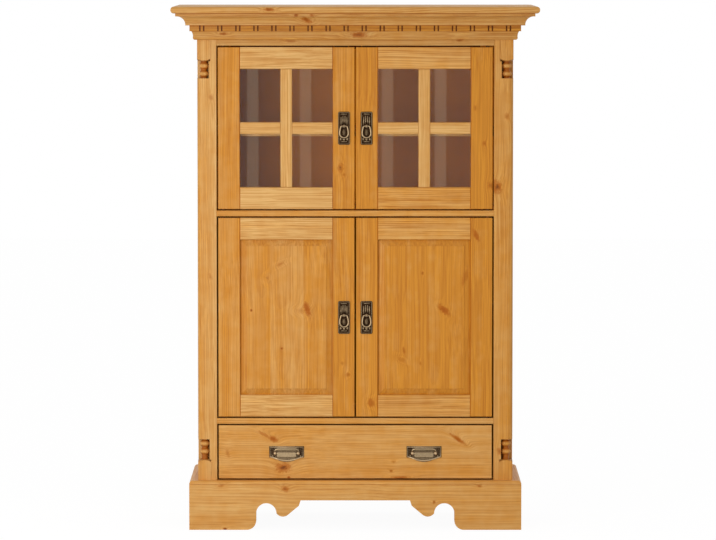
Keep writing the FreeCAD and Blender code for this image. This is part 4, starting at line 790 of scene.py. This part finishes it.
class HIGHBOARD_OT_case(bpy.types.Operator):
    """Finish the posts, columns, sides, dividers and shelves"""

    bl_idname = "highboard.case"
    bl_label = "Case"

    def execute(self, context):
        finish_boards(context, ("post_left", "post_right", "column_left", "column_right", "sides",
                                "case_boards", "hidden_frame"))
        # Pine laths in a dark red-brown that is painted shade for the gaps round the doors
        stop_laths(plain_material("Pine painted dark as gap shade", "#5A1A08", 0.6, 0.75, grain=4, swing=0.15, sheen=0.05))
        # Hardboard: pressed brown fibre, stained on the smooth side and bare on the rough side
        dress("back_panel", plain_material("Brown stained hardboard", "#E08622", 0.6, 0.75, grain=30,
                                           swing=0.1, sheen=0.08, rear="#7A5230"))
        return {"FINISHED"}


class HIGHBOARD_OT_cornice(bpy.types.Operator):
    """Finish the cornice's mouldings and cap"""

    bl_idname = "highboard.cornice"
    bl_label = "Cornice"

    def execute(self, context):
        finish_boards(context, ("top_board", "cornice", "dentils", "cap"))
        return {"FINISHED"}


class HIGHBOARD_OT_plinth(bpy.types.Operator):
    """Finish the plinth's cut-out boards"""

    bl_idname = "highboard.plinth"
    bl_label = "Plinth"

    def execute(self, context):
        finish_boards(context, ("plinth_front", "plinth_sides"))
        return {"FINISHED"}


class HIGHBOARD_OT_doors(bpy.types.Operator):
    """Finish the frames, bars, panels and panes of the four doors"""

    bl_idname = "highboard.doors"
    bl_label = "Doors"

    def execute(self, context):
        glass = glass_material(context.scene.highboard_glass)
        for side in SIDES:
            for level in DOOR_LEVELS:
                door = "%s_door_%s" % (level, side)
                finish_boards(context, (door + "_stiles", door + "_rails"))
            finish_boards(context, ("upper_door_%s_bars" % side, side + "_panel"))
            dress("upper_door_%s_glass" % side, glass)
        return {"FINISHED"}


class HIGHBOARD_OT_drawer(bpy.types.Operator):
    """Finish the drawer's front and box"""

    bl_idname = "highboard.drawer"
    bl_label = "Drawer"

    def execute(self, context):
        finish_boards(context, ("drawer_front", "drawer_box"))
        return {"FINISHED"}


class HIGHBOARD_OT_pulls(bpy.types.Operator):
    """Finish the plates, rings and bails, and add the plates' cast relief"""

    bl_idname = "highboard.pulls"
    bl_label = "Pulls"

    def execute(self, context):
        bronze = context.scene.highboard_bronze
        front = front_plane()
        ground, rise = front - PLATE_THICKNESS - PLATE_SKIN, 0.8 * MM
        cast = bronze_material(bronze, "Antique bronze, cast", ground, rise, 0.0, 0.5)
        wire = bronze_material(bronze, "Antique bronze, drawn wire", front, RING_REACH, 0.6, 0.8)
        wide = bronze_material(bronze, "Antique bronze, cast and worn by the grip", ground, rise,
                               0.06, 0.84, grip=0.22)
        flat = bronze_material(bronze, "Antique bronze, flat grip", front - GRIP_BACK, GRIP_THICKNESS,
                               0.25, 0.65)
        for level in DOOR_LEVELS:
            for side in SIDES:
                door = "%s_door_%s" % (level, side)
                dress(door + "_pull_plate", cast)
                dress(door + "_ring", wire)
                ring_relief(bronze, door, cast, door)
        dress("drawer_pull_plates", wide)
        for side, lot in SIDES.items():
            dress("bail_" + side, flat)
            bail_relief(bronze, "drawer_plate_relief_" + side, lot["sign"] * DOOR_MIDDLE * MM, wide)
        return {"FINISHED"}


class HIGHBOARD_OT_fittings(bpy.types.Operator):
    """Finish the hidden pivots, bushes, catches and shelf pins"""

    bl_idname = "highboard.fittings"
    bl_label = "Fittings"

    def execute(self, context):
        # Browned steel: turned, oiled black, nearly matt, in a red-brown that is partly painted shade for the
        # gaps round the doors
        steel = plain_material("Browned steel tinted as gap shade", "#4E2E1C", 0.45, 0.6, metallic=1.0, grain=4, swing=0.06)
        for name in ("pivot_sockets", "shelf_pins"):
            dress(name, steel)
        for level in DOOR_LEVELS:
            for side in SIDES:
                dress("%s_door_%s_fittings" % (level, side), steel)
        # Injection-moulded ABS: even brown with a fine matt texture, tinted maroon partly as painted shade in
        # the gaps over the doors
        dress("door_catches", plain_material("Moulded ABS tinted as gap shade", "#4A2210", 0.45, 0.6, grain=1.5, swing=0.06,
                                             sheen=0.1))
        return {"FINISHED"}


class HIGHBOARD_OT_studio(bpy.types.Operator):
    """Set the white floor, the lights and the camera"""

    bl_idname = "highboard.studio"
    bl_label = "Studio"

    def execute(self, context):
        studio = context.scene.highboard_studio
        scene = context.scene
        scene.view_settings.view_transform = "Standard"
        build_world(scene, studio)
        build_floor(studio)
        build_flag(studio)
        build_lights(studio)
        build_camera(scene)
        return {"FINISHED"}


# Stage, in metres

FLOOR_REACH = 12
CAMERA_DISTANCE = 12.0  # from the plane of the doors
CAMERA_HEIGHT = 1.6
CAMERA_ASIDE = 0.0075
CAMERA_TILT = 4.2  # degrees below the level
LENS = 219.3  # in millimetres, as the sensor's width is
SENSOR = 36
LAMP_SIZE = (1.5, 2.0)
LAMP_AHEAD = -2.5
LAMP_HEIGHT = 0.85
LAMP_AIM = (0, 0, 0.75)
KEY_ASIDE = -1.2
FILL_ASIDE = 1.4
FLAG_BACK = -3.3  # where the cloth hangs
FLAG_REACH = 2.6
FLAG_HEIGHTS = (0.05, 2.6)
# Glowing slots that paint bright stripes as reflections in the panes
SLOT_PLACES = (-0.284, -0.1385, 0.087, 0.233)  # where the slots show in the plane of the doors
SLOT_HALF = 0.0157
SLOT_HEIGHTS = (0.2, 2.4)
SLOT_AHEAD = 0.01  # so far before the cloth


def seen_directly(tree):
    """One where the eye sees a surface straight, mirrored or through glass."""
    path = add(tree, "ShaderNodeLightPath")
    share = add(tree, "ShaderNodeMath", {0: path["Is Camera Ray"], 1: path["Is Glossy Ray"]},
                operation="MAXIMUM")
    return add(tree, "ShaderNodeMath", {0: share[0], 1: path["Is Transmission Ray"]}, operation="MAXIMUM")[0]


def build_world(scene, studio):
    """A white room, brighter above than below. The eye sees it as plain white."""
    world = bpy.data.worlds.new("White room")
    scene.world = world
    tree = open_tree(world)
    white = (1.0, 1.0, 1.0, 1.0)
    way = add(tree, "ShaderNodeTexCoord")["Generated"]
    rise = add(tree, "ShaderNodeSeparateXYZ", {0: way})["Z"]
    level = add(tree, "ShaderNodeMapRange", {0: rise, 1: -0.7, 2: 0.7, 3: studio.low, 4: studio.sky})[0]
    lit = add(tree, "ShaderNodeBackground", {"Color": white, "Strength": level})
    shown = add(tree, "ShaderNodeBackground", {"Color": white, "Strength": 1.0})
    both = add(tree, "ShaderNodeMixShader", {0: seen_directly(tree), 1: lit[0], 2: shown[0]})
    add(tree, "ShaderNodeOutputWorld", {"Surface": both[0]})


def flat_piece(name, corners, mat):
    """A flat four-sided piece of the stage."""
    mesh = bpy.data.meshes.new(name)
    mesh.from_pydata(corners, [], [(0, 1, 2, 3)])
    piece = new_piece(name, mesh, mat)
    return piece


def hanging(name, middle, half, back, heights, mat):
    """An upright sheet of the stage."""
    left, right, (low, high) = middle - half, middle + half, heights
    corners = [(left, back, low), (right, back, low), (right, back, high), (left, back, high)]
    return flat_piece(name, corners, mat)


def build_floor(studio):
    """Painted floor, matt white. It shows as white, and keeps a share of the shadow."""
    mat = bpy.data.materials.new("Matt white floor paint")
    tree = open_tree(mat)
    paint = add(tree, "ShaderNodeBsdfDiffuse", {"Color": opaque(colour("#CCCCCC"))})
    white = add(tree, "ShaderNodeEmission", {"Strength": 1.06})
    share = add(tree, "ShaderNodeMath", {0: seen_directly(tree), 1: 1 - studio.shadow}, operation="MULTIPLY")
    both = add(tree, "ShaderNodeMixShader", {0: share[0], 1: paint[0], 2: white[0]})
    add(tree, "ShaderNodeOutputMaterial", {"Surface": both[0]})
    far = FLOOR_REACH
    flat_piece("floor", [(-far, -far, 0), (far, -far, 0), (far, far, 0), (-far, far, 0)], mat)


def build_flag(studio):
    """Dark cloth before the doors, with slots in it. Both glow by themselves and light nothing: the cloth's
    faint glow and the slots' warm glow are painted reflections. Only the panes' mirroring shows them.
    """
    cloth = bpy.data.materials.new("Dark glow standing in for felt")
    slot = bpy.data.materials.new("Glowing strips for painted reflections")
    # Both glow by themselves and light nothing: painted reflections, the cloth dark and the slots warm and
    # bright
    for mat, tint, strength in ((cloth, opaque(studio.flag), 1.0), (slot, (1, 0.8, 0.54, 1), 1.6)):
        tree = open_tree(mat)
        glow = add(tree, "ShaderNodeEmission", {"Color": tint, "Strength": strength})
        add(tree, "ShaderNodeOutputMaterial", {"Surface": glow[0]})
    pieces = [hanging("flag", 0, FLAG_REACH, FLAG_BACK, FLAG_HEIGHTS, cloth)]
    # Their mirror images lie behind the doors, so the slots are wider and farther apart than they show
    spread = 1 + (front_plane() - FLAG_BACK) / CAMERA_DISTANCE
    for n, x in enumerate(SLOT_PLACES):
        pieces.append(hanging("flag_slot_%d" % n, x * spread, SLOT_HALF * spread, FLAG_BACK + SLOT_AHEAD,
                              SLOT_HEIGHTS, slot))
    for piece in pieces:
        piece.visible_camera = False
        piece.visible_diffuse = False
        piece.visible_shadow = False
        piece.visible_transmission = False


def build_lights(studio):
    """Large soft lights at both sides of the camera, set so that the panes don't mirror them."""
    for name, x, power in (("key", KEY_ASIDE, studio.key), ("fill", FILL_ASIDE, studio.fill)):
        light = bpy.data.lights.new(name, "AREA")
        light.shape = "RECTANGLE"
        light.size, light.size_y = LAMP_SIZE
        light.energy = power
        light.color = (1.0, 0.985, 0.96)
        lamp = bpy.data.objects.new(name, light)
        lamp.location = (x, LAMP_AHEAD, LAMP_HEIGHT)
        lamp.rotation_mode = "QUATERNION"
        lamp.rotation_quaternion = (Vector(LAMP_AIM) - lamp.location).to_track_quat("-Z", "Y")
        lamp.visible_camera = False
        bpy.context.scene.collection.objects.link(lamp)


def build_camera(scene):
    """A long lens, far off and a little above the cornice, so that the verticals stay parallel."""
    view = bpy.data.cameras.new("camera")
    view.sensor_width = SENSOR
    view.lens = LENS
    view.clip_start, view.clip_end = 0.05, 60
    camera = bpy.data.objects.new("camera", view)
    camera.location = (CAMERA_ASIDE, front_plane() - CAMERA_DISTANCE, CAMERA_HEIGHT)
    camera.rotation_euler = (math.radians(90 - CAMERA_TILT), 0, 0)
    scene.collection.objects.link(camera)
    scene.camera = camera


class HIGHBOARD_PT_panel(bpy.types.Panel):
    """Lists the steps that finish the highboard"""

    bl_idname = "HIGHBOARD_PT_panel"
    bl_label = "Highboard"
    bl_space_type = "VIEW_3D"
    bl_region_type = "UI"
    bl_category = "Highboard"

    def draw(self, context):
        for step in STEPS:
            self.layout.operator(step.bl_idname)
        for word in SETTINGS:
            group = getattr(context.scene, word)
            box = self.layout.box()
            for name in group.__annotations__:
                box.prop(group, name)


STEPS = (
    HIGHBOARD_OT_case,
    HIGHBOARD_OT_cornice,
    HIGHBOARD_OT_plinth,
    HIGHBOARD_OT_doors,
    HIGHBOARD_OT_drawer,
    HIGHBOARD_OT_pulls,
    HIGHBOARD_OT_fittings,
    HIGHBOARD_OT_studio,
)
SETTINGS = {
    "highboard_pine": HighboardPine,
    "highboard_bronze": HighboardBronze,
    "highboard_glass": HighboardGlass,
    "highboard_studio": HighboardStudio,
}


def register():
    for kind in (*SETTINGS.values(), *STEPS, HIGHBOARD_PT_panel):
        bpy.utils.register_class(kind)
    for word, kind in SETTINGS.items():
        setattr(bpy.types.Scene, word, bpy.props.PointerProperty(type=kind))


def unregister():
    for word in SETTINGS:
        delattr(bpy.types.Scene, word)
    for kind in (HIGHBOARD_PT_panel, *reversed(STEPS), *SETTINGS.values()):
        bpy.utils.unregister_class(kind)


def main():
    register()
    for step in STEPS:
        group, name = step.bl_idname.split(".")
        getattr(getattr(bpy.ops, group), name)()


if __name__ == "__main__":
    main()
